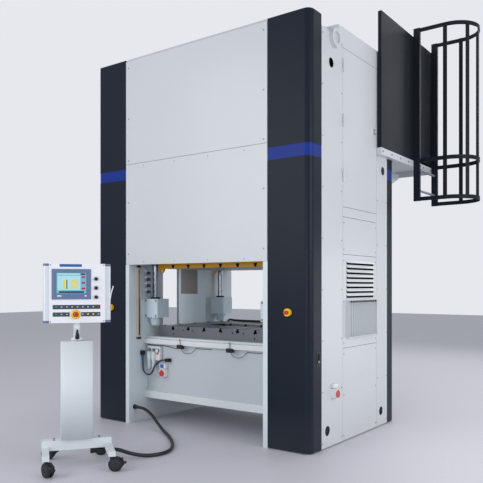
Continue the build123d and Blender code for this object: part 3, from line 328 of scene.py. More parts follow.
# Sprayed enamel on small sheet parts: pale, flat and clean; the hood's back sheet is painted paler than the
# panels, painted light that lifts the shade between its ribs
HOOD_LIFTED_ENAMEL = Finish("hood_enamel_painted_light", "#F2F5F6", 0.5, drift=0.03)
LEDGE_ENAMEL = Finish("ledge_enamel", "#DDE1E3", 0.4, relief=0.03)
# Deep yellow signal enamel on the slide plate's edges, with its ground faces bare and painted shade on its
# slots' walls
SLIDE_ENAMEL = FacedEnamel("slide_enamel", "#E7A60F", 0.4, drift=0.10, relief=0.04)
# Enamel brushed on the guide housings' castings: pale blue-grey, slightly uneven
GUIDE_ENAMEL = Finish("guide_enamel", "#CFE0E9", 0.42, relief_mm=25, relief=0.04)
# Ground and oiled plate: fine straight scratches, darker in patches where oil stays, and painted shade on
# the walls of its slots
GROUND_STEEL = FacedEnamel("ground_steel", "#74777D", 0.42, 0.6, drift=0.2, drift_mm=240, relief_mm=2.5,
                           relief=0.05, grain=Grain.ALONG_X, face_tone="#8A8E94")
# Turned steel on the shaft and the rods: bright, with fine marks across its length
TURNED_STEEL = Finish("turned_steel", "#A9ADB2", 0.28, 0.95, drift=0.12, drift_mm=160, relief_mm=2.0,
                      relief=0.04, grain=Grain.ALONG_Y)
# Hard chrome on the guide pillars: mirror smooth with a film of oil
PILLAR_CHROME = Finish("pillar_chrome", "#9299A1", 0.16, 1.0, drift=0.05, relief=0.002)
# Zinc plate and black oxide on screws: a dull metal that differs from head to head
BRIGHT_ZINC = Finish("bright_zinc", "#8E949B", 0.45, 0.6, drift=0.15, drift_mm=20, relief_mm=3)
DARK_ZINC = Finish("black_oxide_screws", "#33373D", 0.4, 0.6, drift=0.15, drift_mm=20, relief_mm=3)
# Cast iron under machine enamel: pebbled, semi-matt
CAST_ENAMEL = Finish("cast_enamel", "#4C5560", 0.5, drift=0.15, drift_mm=200, relief_mm=9, relief=0.15)
# Machined bronze and brass: warm and bright, a little tarnished in patches
BRONZE = Finish("bearing_bronze", "#B58A4A", 0.35, 0.9, drift=0.15, drift_mm=80, relief_mm=2)
BRASS = Finish("fitting_brass", "#C9A04E", 0.3, 0.95, drift=0.12, drift_mm=30, relief_mm=2)
# Moulded and extruded rubber: near black, soft in gloss, uneven in tone
BLACK_RUBBER = Finish("moulded_rubber", "#1E2126", 0.55, drift=0.2, drift_mm=90, relief_mm=4, relief=0.08)
HOSE_RUBBER = Finish("hose_rubber", "#17191D", 0.42, drift=0.2, drift_mm=120, relief_mm=5, relief=0.06)
BELT_RUBBER = Finish("belt_rubber", "#25272B", 0.6, drift=0.2, drift_mm=60, relief_mm=3, relief=0.1)
CASTER_RUBBER = Finish("caster_tyre", "#1C1F24", 0.55, drift=0.2, drift_mm=40, relief_mm=4, relief=0.06,
                       specular=0.3)
# Moulded plastics of fittings, knobs, stops and casters: clear colours with a soft, even gloss
BLACK_PLASTIC = Moulded("moulded_black_nylon", "#191C20", 0.45, drift=0.1, specular=0.35)
CASTER_HUB = Moulded("caster_hub", "#272A31", 0.5, drift=0.1, drift_mm=40, specular=0.35)
GREY_PLASTIC = Moulded("moulded_grey_nylon", "#6E7A86", 0.45, drift=0.08)
BLUE_PLASTIC = Moulded("moulded_blue_nylon", "#2C62B8", 0.4, drift=0.08)
WHITE_PLASTIC = Moulded("moulded_white_abs", "#E6E8E8", 0.38, drift=0.04)
RED_PLASTIC = Moulded("moulded_red_abs", "#C8201F", 0.33, drift_mm=40, coat=0.3)
YELLOW_PLASTIC = Moulded("moulded_yellow_abs", "#F2CB05", 0.36, drift=0.05, drift_mm=40)
# The black fittings, with the manifold block between two heights cast and enamelled as the wall is
FITTING_PLASTIC = BandedEnamel("fittings_nylon_and_enamel", "#191C20", 0.45, drift=0.1, drift_mm=60,
                               relief_mm=3, specular=0.35, band_tone="#BFCDD5", band_low=1.465,
                               band_high=1.845)
# Thin enamel on the light curtains' extrusion and on the plate in the feed window, and the dark red lens
CURTAIN_ENAMEL = Finish("curtain_beige", "#CDC3B6", 0.42, drift=0.05, drift_mm=200, relief_mm=5)
REVEAL_ENAMEL = Finish("reveal_grey_brown", "#8B857F", 0.5, drift=0.1, drift_mm=200, relief_mm=6)
LENS = Finish("curtain_lens", "#3A1216", 0.12, drift=0.1, drift_mm=40, relief=0.004, coat=0.6)
# Powder coat on the pedestal and panel: near white, slightly blue, a fine even texture
PEDESTAL_COAT = Finish("pedestal_powder_coat", "#D3DBDF", 0.5, drift=0.05, relief_mm=6, relief=0.03,
                       dust=0.1)
PANEL_COAT = Finish("panel_powder_coat", "#E9EBF1", 0.4, drift=0.04, drift_mm=200, relief_mm=5, relief=0.04)
# Anodised grips between moulded end caps, so the alloy is the band and the caps are the ground tone
HANDLE_ALLOY = BandedEnamel("anodised_handle", "#66738A", 0.35, 0.2, drift_mm=120, relief_mm=3,
                            grain=Grain.ALONG_Z, band_tone="#D3D8E0", band_low=1.312, band_high=1.798)
# Printed polyester foil round the screen, below the keys and on the panel's top: flat and satin
BEZEL = Finish("bezel_foil", "#66789A", 0.4, drift=0.05, drift_mm=120, relief_mm=4, specular=0.3)
KEY_FOIL = Finish("key_foil", "#444E5E", 0.45, drift=0.05, drift_mm=120, relief_mm=4, specular=0.3)
BLUE_STRIP = Finish("blue_strip", "#2A60A8", 0.4, drift=0.04, drift_mm=90, specular=0.3)
# Areas of the lit screen, and the small lit legends on the keys
SCREEN_CYAN = ScreenArea("screen_cyan", "#6FB4C6", 0.25)
SCREEN_PALE = ScreenArea("screen_pale", "#A9D6DA", 0.25)
SCREEN_YELLOW = ScreenArea("screen_yellow", "#DBCB66", 0.25)
SCREEN_WHITE = ScreenArea("screen_white", "#D9E3EA", 0.25)
SCREEN_DARK = ScreenArea("screen_dark", "#25324A", 0.25, glow=0.05)
KEY_GREEN = Finish("key_green", "#1F9A74", 0.3, relief=0.01, glow=0.1)
KEY_RED = Finish("key_red", "#B22833", 0.3, relief=0.01, glow=0.1)
KEY_YELLOW = Finish("key_yellow", "#C9B83A", 0.3, relief=0.01, glow=0.1)
KEY_GREY = Finish("key_legend_grey", "#97A1B0", 0.4, relief=0.01, glow=0.01)
# Bare rolled plate: dull metal with bars that catch the light in turn
TREAD = TreadPlate("tread_plate", "#AEB6BC", 0.45, 0.2, relief=0.25, drift=0.1)
# Filter fleece; black foam rubber, as a seal on the pull plate and as painted shade in the side panels'
# seams; and a matt black that is painted shade below the louver blades and in the hood's openings
FILTER_MAT = Finish("filter_mat", "#1C2025", 0.9, drift=0.4, drift_mm=25, relief_mm=6, relief=0.3)
PAINTED_SHADE_BLACK = Finish("black_painted_shade", "#0F1215", 0.95, drift=0.2, drift_mm=25, relief_mm=3,
                    specular=0.05)
SEAL_AND_SEAM_SHADE = Finish("black_seal_and_seam_shade", "#22272D", 0.8, drift=0.2, drift_mm=60, relief_mm=4, specular=0.1)
# Floor paint, drifting in tone over metres
FLOOR_PAINT = Finish("studio_floor_paint", "#CCCAD3", 0.5, drift=0.03, drift_mm=2500, relief_mm=60,
                     relief=0.002)


class Face(Enum):
    """The way a part points, as the axis and the angle that turn it there from up."""
    UP = ("X", 0.0)
    FRONT = ("X", QUARTER)
    BACK = ("X", -QUARTER)
    RIGHT = ("Y", QUARTER)
    LEFT = ("Y", -QUARTER)

    def at(self, x: float, y: float, z: float) -> Matrix:
        """A place at a point, turned this way."""
        return Matrix.Translation((x, y, z)) @ Matrix.Rotation(self.value[1], 4, self.value[0])

    def euler(self) -> Point:
        """The turn as its three angles."""
        return tuple(self.value[1] if axis == self.value[0] else 0.0 for axis in "XYZ")


class Head(Enum):
    """A screw head for a place on the press, as its radius and its height."""
    HINGE = (0.0035, 0.002)
    PANEL_CORNER = (0.004, 0.002)
    FITTING = (0.004, 0.003)
    COLUMN = (0.0045, 0.0025)
    SEAM = (0.0045, 0.003)
    REVEAL = (0.005, 0.003)
    SIDE_PANEL = (0.0055, 0.003)
    COVER = (0.006, 0.004)
    ROOF_EDGE = (0.007, 0.005)
    DECK = (0.008, 0.006)
    STRUCTURE = (0.009, 0.006)
    BOLSTER = (0.016, 0.008)


# The press's front and rear faces, each with the way that it points
ENDS = ((-1.0, Face.FRONT), (1.0, Face.BACK))


def add_object(name: str, data: bpy.types.ID) -> bpy.types.Object:
    """Puts data into the scene.

    Args:
        name: The object's name.
        data: Its mesh, curve, lamp or camera.

    Returns:
        The new object.
    """
    item = bpy.data.objects.new(name, data)
    bpy.context.scene.collection.objects.link(item)
    return item


def smooth_line(name: str, points: Sequence[Point], radius: float, roundness: int) -> bpy.types.Object:
    """Adds a smooth NURBS curve with its control points.

    Args:
        name: The object's name.
        points: The control points.
        radius: The tube's radius.
        roundness: The bevel resolution of the tube.

    Returns:
        The curve object.
    """
    curve = bpy.data.curves.new(name, "CURVE")
    curve.dimensions = "3D"
    curve.bevel_depth = radius
    curve.bevel_resolution = roundness
    curve.use_fill_caps = True
    spline = curve.splines.new("NURBS")
    spline.points.add(len(points) - 1)
    for item, place in zip(spline.points, points):
        item.co = (*place, 1.0)
    spline.order_u = 3
    spline.use_endpoint_u = True
    spline.resolution_u = 8
    return add_object(name, curve)


def plain_mesh(helper: bpy.types.Object) -> bpy.types.Mesh:
    """Turns a helper object into a mesh and removes the helper.

    Args:
        helper: The object in the scene, with its modifiers.

    Returns:
        The evaluated mesh.
    """
    graph = bpy.context.evaluated_depsgraph_get()
    mesh = bpy.data.meshes.new_from_object(helper.evaluated_get(graph), preserve_all_data_layers=True,
                                           depsgraph=graph)
    helper.modifiers.clear()
    data = helper.data
    bpy.data.objects.remove(helper)
    store = bpy.data.meshes if isinstance(data, bpy.types.Mesh) else bpy.data.curves
    store.remove(data)
    return mesh


def along(start: Point, end: Point, count: int) -> list[Point]:
    """Evenly spaced places from start to end, both included."""
    first, last = Vector(start), Vector(end)
    return [tuple(first.lerp(last, i / (count - 1))) for i in range(count)]


class Grower:
    """A geometry tree with named inputs that makes what repeats."""

    def __init__(self, name: str, body: Callable[[Tree, dict], Socket], inputs: dict[str, object]) -> None:
        """Builds the tree.

        Args:
            name: The tree's name.
            body: Adds the tree's own nodes and returns the instances.
            inputs: Input name to its default, whose type sets the socket's.
        """
        self.tree = bpy.data.node_groups.new(name, "GeometryNodeTree")
        new_socket = self.tree.interface.new_socket
        new_socket("Places", in_out="INPUT", socket_type="NodeSocketGeometry")
        for label, default in inputs.items():
            kind = {int: "Int", float: "Float", tuple: "Vector"}[type(default)]
            new_socket(label, in_out="INPUT", socket_type=f"NodeSocket{kind}").default_value = default
        new_socket("Finish", in_out="INPUT", socket_type="NodeSocketMaterial")
        new_socket("Piece", in_out="OUTPUT", socket_type="NodeSocketGeometry")
        given = {item.name: item for item in add_node(self.tree, "NodeGroupInput").node.outputs}
        made = add_node(self.tree, "GeometryNodeRealizeInstances", {0: body(self.tree, given)})
        dressed = add_node(self.tree, "GeometryNodeSetMaterial",
                           {"Geometry": made, "Material": given["Finish"]})
        add_node(self.tree, "NodeGroupOutput", {0: dressed})

    def grow(self, finish: Finish, places: Sequence[Point], sizes: dict[str, object]) -> bpy.types.Mesh:
        """Runs the tree on places.

        Args:
            finish: The finish of the result.
            places: The points to grow on, where the tree needs them.
            sizes: Input values by name, with _ for a space.

        Returns:
            A plain mesh.
        """
        mesh = bpy.data.meshes.new("places")
        mesh.from_pydata(list(places), [], [])
        helper = add_object("growing", mesh)
        modifier = helper.modifiers.new("Grow", "NODES")
        modifier.node_group = self.tree
        given = {name.replace("_", " "): value for name, value in sizes.items()}
        given["Finish"] = finish.material()
        for item in self.tree.interface.items_tree:
            if item.name in given:
                modifier[item.identifier] = given[item.name]
        helper.update_tag()
        return plain_mesh(helper)


def screw_body(tree: Tree, given: dict[str, Socket]) -> Socket:
    """A hexagon head on a round washer at each place.

    Args:
        tree: The tree.
        given: Its inputs.

    Returns:
        The instances.
    """
    radius, height = given["Head Radius"], given["Head Height"]
    wide, thin, half = (add_node(tree, "ShaderNodeMath", {0: number, 1: share}, operation="MULTIPLY")
                        for number, share in ((radius, 1.5), (height, 0.45), (height, 0.5)))
    head = add_node(tree, "GeometryNodeMeshCylinder", {"Vertices": 6, "Radius": radius, "Depth": height})
    washer = add_node(tree, "GeometryNodeMeshCylinder", {"Vertices": 14, "Radius": wide, "Depth": thin})
    lift = add_node(tree, "ShaderNodeCombineXYZ", {2: half})
    both = add_node(tree, "GeometryNodeJoinGeometry",
                    {0: add_node(tree, "GeometryNodeTransform", {0: head, "Translation": lift})})
    tree.links.new(washer, both.node.inputs[0])
    turn = add_node(tree, "FunctionNodeEulerToRotation", {0: given["Facing"]})
    return add_node(tree, "GeometryNodeInstanceOnPoints",
                    {"Points": given["Places"], "Instance": both, "Rotation": turn})


def ring_body(tree: Tree, given: dict[str, Socket]) -> Socket:
    """Blocks in a ring round Z, each turned to face outwards.

    Args:
        tree: The tree.
        given: Its inputs.

    Returns:
        The instances.
    """
    ring = add_node(tree, "GeometryNodeMeshCircle",
                    {"Vertices": given["Count"], "Radius": given["Ring Radius"]})
    block = add_node(tree, "GeometryNodeMeshCube", {"Size": given["Size"]})
    turn = add_node(tree, "FunctionNodeAlignRotationToVector",
                    {"Vector": add_node(tree, "GeometryNodeInputPosition")}, axis="X")
    return add_node(tree, "GeometryNodeInstanceOnPoints",
                    {"Points": ring, "Instance": block, "Rotation": turn})


def row_body(tree: Tree, given: dict[str, Socket]) -> Socket:
    """Blocks in a straight row.

    Args:
        tree: The tree.
        given: Its inputs.

    Returns:
        The instances.
    """
    line = add_node(tree, "GeometryNodeMeshLine",
                    {"Count": given["Count"], "Start Location": given["Start"], "Offset": given["Step"]})
    block = add_node(tree, "GeometryNodeMeshCube", {"Size": given["Size"]})
    return add_node(tree, "GeometryNodeInstanceOnPoints", {"Points": line, "Instance": block})


SCREWS = Grower("Screw_heads", screw_body, {"Head Radius": 0.007, "Head Height": 0.006,
                                            "Facing": (0.0, 0.0, 0.0)})
RINGS = Grower("Ring_of_blocks", ring_body, {"Count": 12, "Ring Radius": 0.1, "Size": (0.01, 0.01, 0.01)})
ROWS = Grower("Row_of_blocks", row_body, {"Count": 8, "Start": (0.0, 0.0, 0.0), "Step": (0.0, 0.0, 0.05),
                                          "Size": (0.01, 0.01, 0.01)})


class Shape:
    """Collects the solids of one piece in a mesh, each with the number of its finish."""

    def __init__(self, name: str, body: str, *finishes: Finish) -> None:
        """Starts an empty piece.

        Args:
            name: The piece's name.
            body: The CAD body that it rides on.
            finishes: Its finishes, by number.
        """
        self.name = name
        self.body = body
        self.finishes = finishes
        self.mesh = bmesh.new()

    def settle(self, verts: Iterable[bmesh.types.BMVert], place: Matrix, finish: int, smooth: bool) -> None:
        """Places new vertices and marks their faces.

        Args:
            verts: The new vertices.
            place: Where they go.
            finish: The number of the faces' finish.
            smooth: Whether the faces are shaded smooth.
        """
        verts = list(verts)
        bmesh.ops.transform(self.mesh, matrix=place, verts=verts)
        for face in {f for v in verts for f in v.link_faces}:
            face.material_index = finish
            face.smooth = smooth

    def box(self, low: Point, high: Point, bevel: float = 0.0, finish: int = 0,
            place: Matrix = STILL) -> None:
        """Adds a block with softened edges.

        Args:
            low: Its lowest corner.
            high: Its highest corner.
            bevel: The width of its softened edges.
            finish: The number of its finish.
            place: Where it goes.
        """
        centre = [(a + b) / 2 for a, b in zip(low, high)]
        size = [abs(b - a) for a, b in zip(low, high)]
        form = Matrix.Translation(centre) @ Matrix.Diagonal((*size, 1.0))
        made = bmesh.ops.create_cube(self.mesh, size=1.0, matrix=form)["verts"]
        if bevel:
            edges = {e for v in made for e in v.link_edges}
            made = bmesh.ops.bevel(self.mesh, geom=list(edges), offset=bevel, segments=2, profile=0.5,
                                   affect="EDGES", clamp_overlap=True)["verts"]
        self.settle(made, place, finish, False)

    def loft(self, rings: Sequence[Sequence[Point]], place: Matrix,
             finish: int) -> list[bmesh.types.BMFace]:
        """Adds a solid through rings of points, with smooth sides and flat ends.

        Args:
            rings: The rings, from the lower end to the upper.
            place: Where it goes.
            finish: The number of its finish.

        Returns:
            Its sides, ring by ring.
        """
        rows = [[self.mesh.verts.new(point) for point in ring] for ring in rings]
        ends = [self.mesh.faces.new(rows[0][::-1]), self.mesh.faces.new(rows[-1])]
        sides = []
        for lower, upper in zip(rows, rows[1:]):
            for i in range(len(lower)):
                j = (i + 1) % len(lower)
                sides.append(self.mesh.faces.new((lower[i], lower[j], upper[j], upper[i])))
        self.settle([v for row in rows for v in row], place, finish, True)
        for end in ends:
            end.smooth = False
        return sides

    def turned(self, profile: Sequence[Pair], place: Matrix, steps: int = 32, finish: int = 0) -> None:
        """Adds a solid turned round the Z axis of its place.

        Args:
            profile: Radius and height of each point, from the lower end to the upper.
            place: Where it goes.
            steps: The number of sides.
            finish: The number of its finish.
        """
        angles = [2 * math.pi * i / steps for i in range(steps)]
        self.loft([[(radius * math.cos(a), radius * math.sin(a), height) for a in angles]
                   for radius, height in profile], place, finish)

    def prism(self, outline: Sequence[Pair], low: float, high: float, place: Matrix) -> None:
        """Adds a solid with one outline throughout and a flat last side.

        Args:
            outline: The corners in the XY plane.
            low: The height of its lower end.
            high: The height of its upper end.
            place: Where it goes.
        """
        sides = self.loft([[(x, y, z) for x, y in outline] for z in (low, high)], place, 0)
        sides[-1].smooth = False

    def tube(self, points: Sequence[Point], radius: float, finish: int = 0) -> None:
        """Adds a round tube that follows a smooth line through its control points."""
        self.join(plain_mesh(smooth_line(f"{self.name}_line", points, radius, 2)), finish, True, STILL)

    def join(self, mesh: bpy.types.Mesh, finish: int, smooth: bool, place: Matrix) -> None:
        """Adds a finished mesh.

        Args:
            mesh: The mesh, which is removed.
            finish: The number of its finish.
            smooth: Whether its faces are shaded smooth.
            place: Where it goes.
        """
        before = set(self.mesh.verts)
        self.mesh.from_mesh(mesh)
        self.settle([v for v in self.mesh.verts if v not in before], place, finish, smooth)
        bpy.data.meshes.remove(mesh)

    def grow(self, grower: Grower, finish: int = 0, place: Matrix = STILL, places: Sequence[Point] = (),
             **sizes: object) -> None:
        """Adds what a tree grows.

        Args:
            grower: The tree.
            finish: The number of its finish.
            place: Where it goes.
            places: The points that the tree grows on, where it needs them.
            sizes: The tree's inputs by name, with _ for a space.
        """
        self.join(grower.grow(self.finishes[finish], places, sizes), finish, False, place)

    def screws(self, places: Sequence[Point], face: Face, head: Head, finish: int = 0,
               place: Matrix = STILL) -> None:
        """Adds screw heads.

        Args:
            places: The middle of each head's seat.
            face: The way the heads point.
            head: Their size.
            finish: The number of their finish.
            place: Where the whole row goes.
        """
        self.grow(SCREWS, finish, place, places, Head_Radius=head.value[0], Head_Height=head.value[1],
                  Facing=face.euler())

    def ring(self, count: int, radius: float, size: Point, place: Matrix, finish: int = 0) -> None:
        """Adds a ring of blocks round the Z axis of its place."""
        self.grow(RINGS, finish, place, Count=count, Ring_Radius=radius, Size=size)

    def close(self) -> None:
        """Closes the piece, dresses it and lets it ride."""
        bmesh.ops.recalc_face_normals(self.mesh, faces=self.mesh.faces)
        mesh = bpy.data.meshes.new(self.name)
        self.mesh.to_mesh(mesh)
        self.mesh.free()
        piece = add_object(self.name, mesh)
        for finish in self.finishes:
            mesh.materials.append(finish.material())
        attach(piece, self.body)
        log.info("piece %s: %d faces on %s", self.name, len(mesh.polygons), self.body)


@dataclass
class Cladding:
    """The painted sheet round the press: column covers, front and rear covers, side panels and roof."""
    cover_x: float = 0.963
    cover_z: Places = (1.995, 2.60, 3.095, 3.59, 4.19)
    seam_x: float = 0.72
    seam_z: Pair = (3.012, 1.9)
    column_x: float = 1.035
    column_z: Pairs = ((0.25, 2.75), (3.15, 4.15))
    column_pitch: float = 0.5
    side_x: float = 1.5
    side_pitch: float = 0.55
    side_inset: float = 0.022
    side_foot: float = 0.05
    side_head: float = 0.06
    panel_y: Pair = (-0.326, 0.5)
    strips_y: Pairs = ((-0.776, -0.330), (0.504, 0.796))
    strip_z: Pair = (0.012, 4.18)
    right_z: Pairs = ((0.012, 0.971), (0.975, 1.947), (1.951, 2.338))
    left_z: Pairs = ((0.012, 0.971), (0.975, 2.442), (2.446, 4.096))
    # Each seam's height and width, filled with a black strip of painted shade for its shadow gap
    right_seams: Pairs = ((0.973, 0.003), (1.949, 0.003), (2.344, 0.005), (2.444, 0.003))
    left_seams: Pairs = ((0.973, 0.003), (2.444, 0.003))
    seam_shade_x: Pair = (1.495, 1.4995)
    lock: Point = (1.5, 0.44, 3.366)
    lock_profile: Pairs = ((0.026, 0.004), (0.026, 0.010), (0.022, 0.013), (0.012, 0.014))
    lock_seat: float = 0.006
    lock_corners: Pair = (-0.022, 0.022)
    leaf: Pair = (1.503, -0.312)
    leaf_screws: Pair = (-0.012, 0.012)
    leaf_z: Places = (2.7705, 3.3405, 3.9105)
    mat_x: Pair = (1.462, 1.466)
    mat_y: Pair = (-0.31, 0.484)
    mat_z: Pair = (1.5, 1.93)
    pleats: int = 27
    pleat_pitch: float = 0.0294
    pleat_start: Pair = (1.474, 0.015)
    pleat_size: Pair = (0.016, 0.012)
    hood_y: Pair = (-0.263, 0.437)
    hood_z: Pair = (1.076, 1.474)
    hood_sheet: Pair = (1.497, 1.5005)
    hood_lap: float = 0.008
    hood_ribs: int = 14
    hood_slot: Point = (0.012, 0.024, 0.02)
    hood_slot_x: float = 1.53
    hood_slot_drop: float = 0.019
    louver_z: float = 1.512
    louver_pitch: float = 0.05
    louvers: int = 8
    shade_x: float = 1.5004
    shade_drop: float = 0.0075
    shade_size: Pair = (0.0014, 0.021)
    louver_y: Pair = (-0.243, 0.417)
    pull_plate: tuple[Block, ...] = (
        ((1.4985, -0.885, 0.835), (1.503, -0.80, 0.985), 0.002, 0),
        ((1.503, -0.862, 0.86), (1.5045, -0.823, 0.96), 0.001, 1),
        ((1.5035, -0.856, 0.868), (1.511, -0.829, 0.892), 0.003, 2))

    def build(self) -> None:
        """Dresses the sheets and adds their screws, black strips of painted shade in the side panels' seams,
        filter mats, black strips of painted shade below the louver blades, and pull plate.
        """
        COLUMN_ENAMEL.dress("left_column_cover", "right_column_cover", "rear_column_covers")
        PANEL_ENAMEL.dress("front_upper_cover", "front_lower_cover", "rear_covers", "left_side_panels",
                           "right_side_panels", "louver_panel", "flywheel_door", "roof_covers")
        self.cover_screws()
        self.side_screws()
        self.door_lock()
        self.filters()
        self.louver_and_seam_shade()
        plate = Shape("column_pull_plate", "frame", BLACK_PLASTIC, SEAL_AND_SEAM_SHADE, BRIGHT_ZINC)
        for row in self.pull_plate:
            plate.box(*row)
        plate.close()

    def cover_screws(self) -> None:
        """Screws round the front and rear covers, and along the column covers' inner edges."""
        shape = Shape("cover_screws", "frame", BRIGHT_ZINC)
        for side in (-1, 1):
            for y, face in ENDS:
                shape.screws([(side * self.cover_x, y, z) for z in self.cover_z], face, Head.COVER)
        for z in self.seam_z:
            for y, face in ENDS:
                shape.screws(along((-self.seam_x, y, z), (self.seam_x, y, z), 4), face, Head.SEAM)
        shape.close()
        edge = Shape("column_screws", "frame", DARK_ZINC)
        for x in (-self.column_x, self.column_x):
            for low, high in self.column_z:
                count = 2 + round((high - low) / self.column_pitch)
                for y, face in ENDS:
                    edge.screws(along((x, y, low), (x, y, high), count), face, Head.COLUMN)
        edge.close()

    def side_screws(self) -> None:
        """Screws along the upright edges of each fixed panel of both sides."""
        shape = Shape("side_panel_screws", "frame", BRIGHT_ZINC)
        for x, face, heights in ((self.side_x, Face.RIGHT, self.right_z),
                                 (-self.side_x, Face.LEFT, self.left_z)):
            panels = [(y, self.strip_z) for y in self.strips_y] + [(self.panel_y, z) for z in heights]
            for (near, far), (low, high) in panels:
                rows = max(2, 1 + round((high - low) / self.side_pitch))
                for y in (near + self.side_inset, far - self.side_inset):
                    places = along((x, y, low + self.side_foot), (x, y, high - self.side_head), rows)
                    shape.screws(places, face, Head.SIDE_PANEL)
        shape.close()

    def door_lock(self) -> None:
        """The lock's escutcheon and the screws of the hinge leaves on the flywheel door."""
        shape = Shape("door_lock", "flywheel_door", BRIGHT_ZINC)
        x, y, z = self.lock
        shape.turned(self.lock_profile, Face.RIGHT.at(x, y, z), 28)
        corners = [(x + self.lock_seat, y + dy, z + dz)
                   for dy in self.lock_corners for dz in self.lock_corners]
        shape.screws(corners, Face.RIGHT, Head.FITTING)
        for middle in self.leaf_z:
            shape.screws([(*self.leaf, middle + dz) for dz in self.leaf_screws], Face.RIGHT, Head.HINGE)
        shape.close()

    def filters(self) -> None:
        """A pleated filter mat behind the louvers, and the hood's back sheet, painted paler than the panels
        as painted light in the shade between its ribs, with black blocks of painted shade at its top where
        its openings are.
        """
        mat = Shape("filter_mats", "frame", FILTER_MAT)
        (near, far), (low, high) = self.mat_y, self.mat_z
        x, margin = self.pleat_start
        mat.grow(ROWS, Count=self.pleats, Start=(x, near + margin, (low + high) / 2),
                 Step=(0.0, self.pleat_pitch, 0.0), Size=(*self.pleat_size, high - low))
        mat.box((self.mat_x[0], near, low), (self.mat_x[1], far, high), 0.001)
        mat.close()
        hood = Shape("hood_back", "frame", HOOD_LIFTED_ENAMEL, PAINTED_SHADE_BLACK)
        (near, far), (low, high) = self.hood_y, self.hood_z
        lap = self.hood_lap
        # The back sheet, painted paler than the panels: painted light that lifts the shade between the ribs
        hood.box((self.hood_sheet[0], near + lap, low + lap), (self.hood_sheet[1], far - lap, high - lap))
        pitch = (far - near) / self.hood_ribs
        start = (self.hood_slot_x, near + pitch / 2, high - self.hood_slot_drop)
        # Black blocks at the hood's top: painted shade where its openings are
        hood.grow(ROWS, 1, Count=self.hood_ribs, Start=start, Step=(0.0, pitch, 0.0), Size=self.hood_slot)
        hood.close()

    def louver_and_seam_shade(self) -> None:
        """Black strips of painted shade below the louver blades, and in the seams of the side panels for
        their shadow gaps.
        """
        # Black strips painted on the sheet below each blade: painted shade for the openings there
        shape = Shape("louver_painted_shade", "frame", PAINTED_SHADE_BLACK)
        near, far = self.louver_y
        thick, tall = self.shade_size
        start = (self.shade_x, (near + far) / 2, self.louver_z - self.shade_drop)
        shape.grow(ROWS, Count=self.louvers, Start=start, Step=(0.0, 0.0, self.louver_pitch),
                   Size=(thick, far - near, tall))
        shape.close()
        # Black strips in the side panels' seams: painted shade for the shadow gaps there
        seam_shade = Shape("panel_seam_shade", "frame", SEAL_AND_SEAM_SHADE)
        for side, seams in ((-1, self.left_seams), (1, self.right_seams)):
            for z, wide in seams:
                inner, outer = (side * x for x in self.seam_shade_x)
                seam_shade.box((inner, self.panel_y[0], z - wide / 2), (outer, self.panel_y[1], z + wide / 2))
        seam_shade.close()


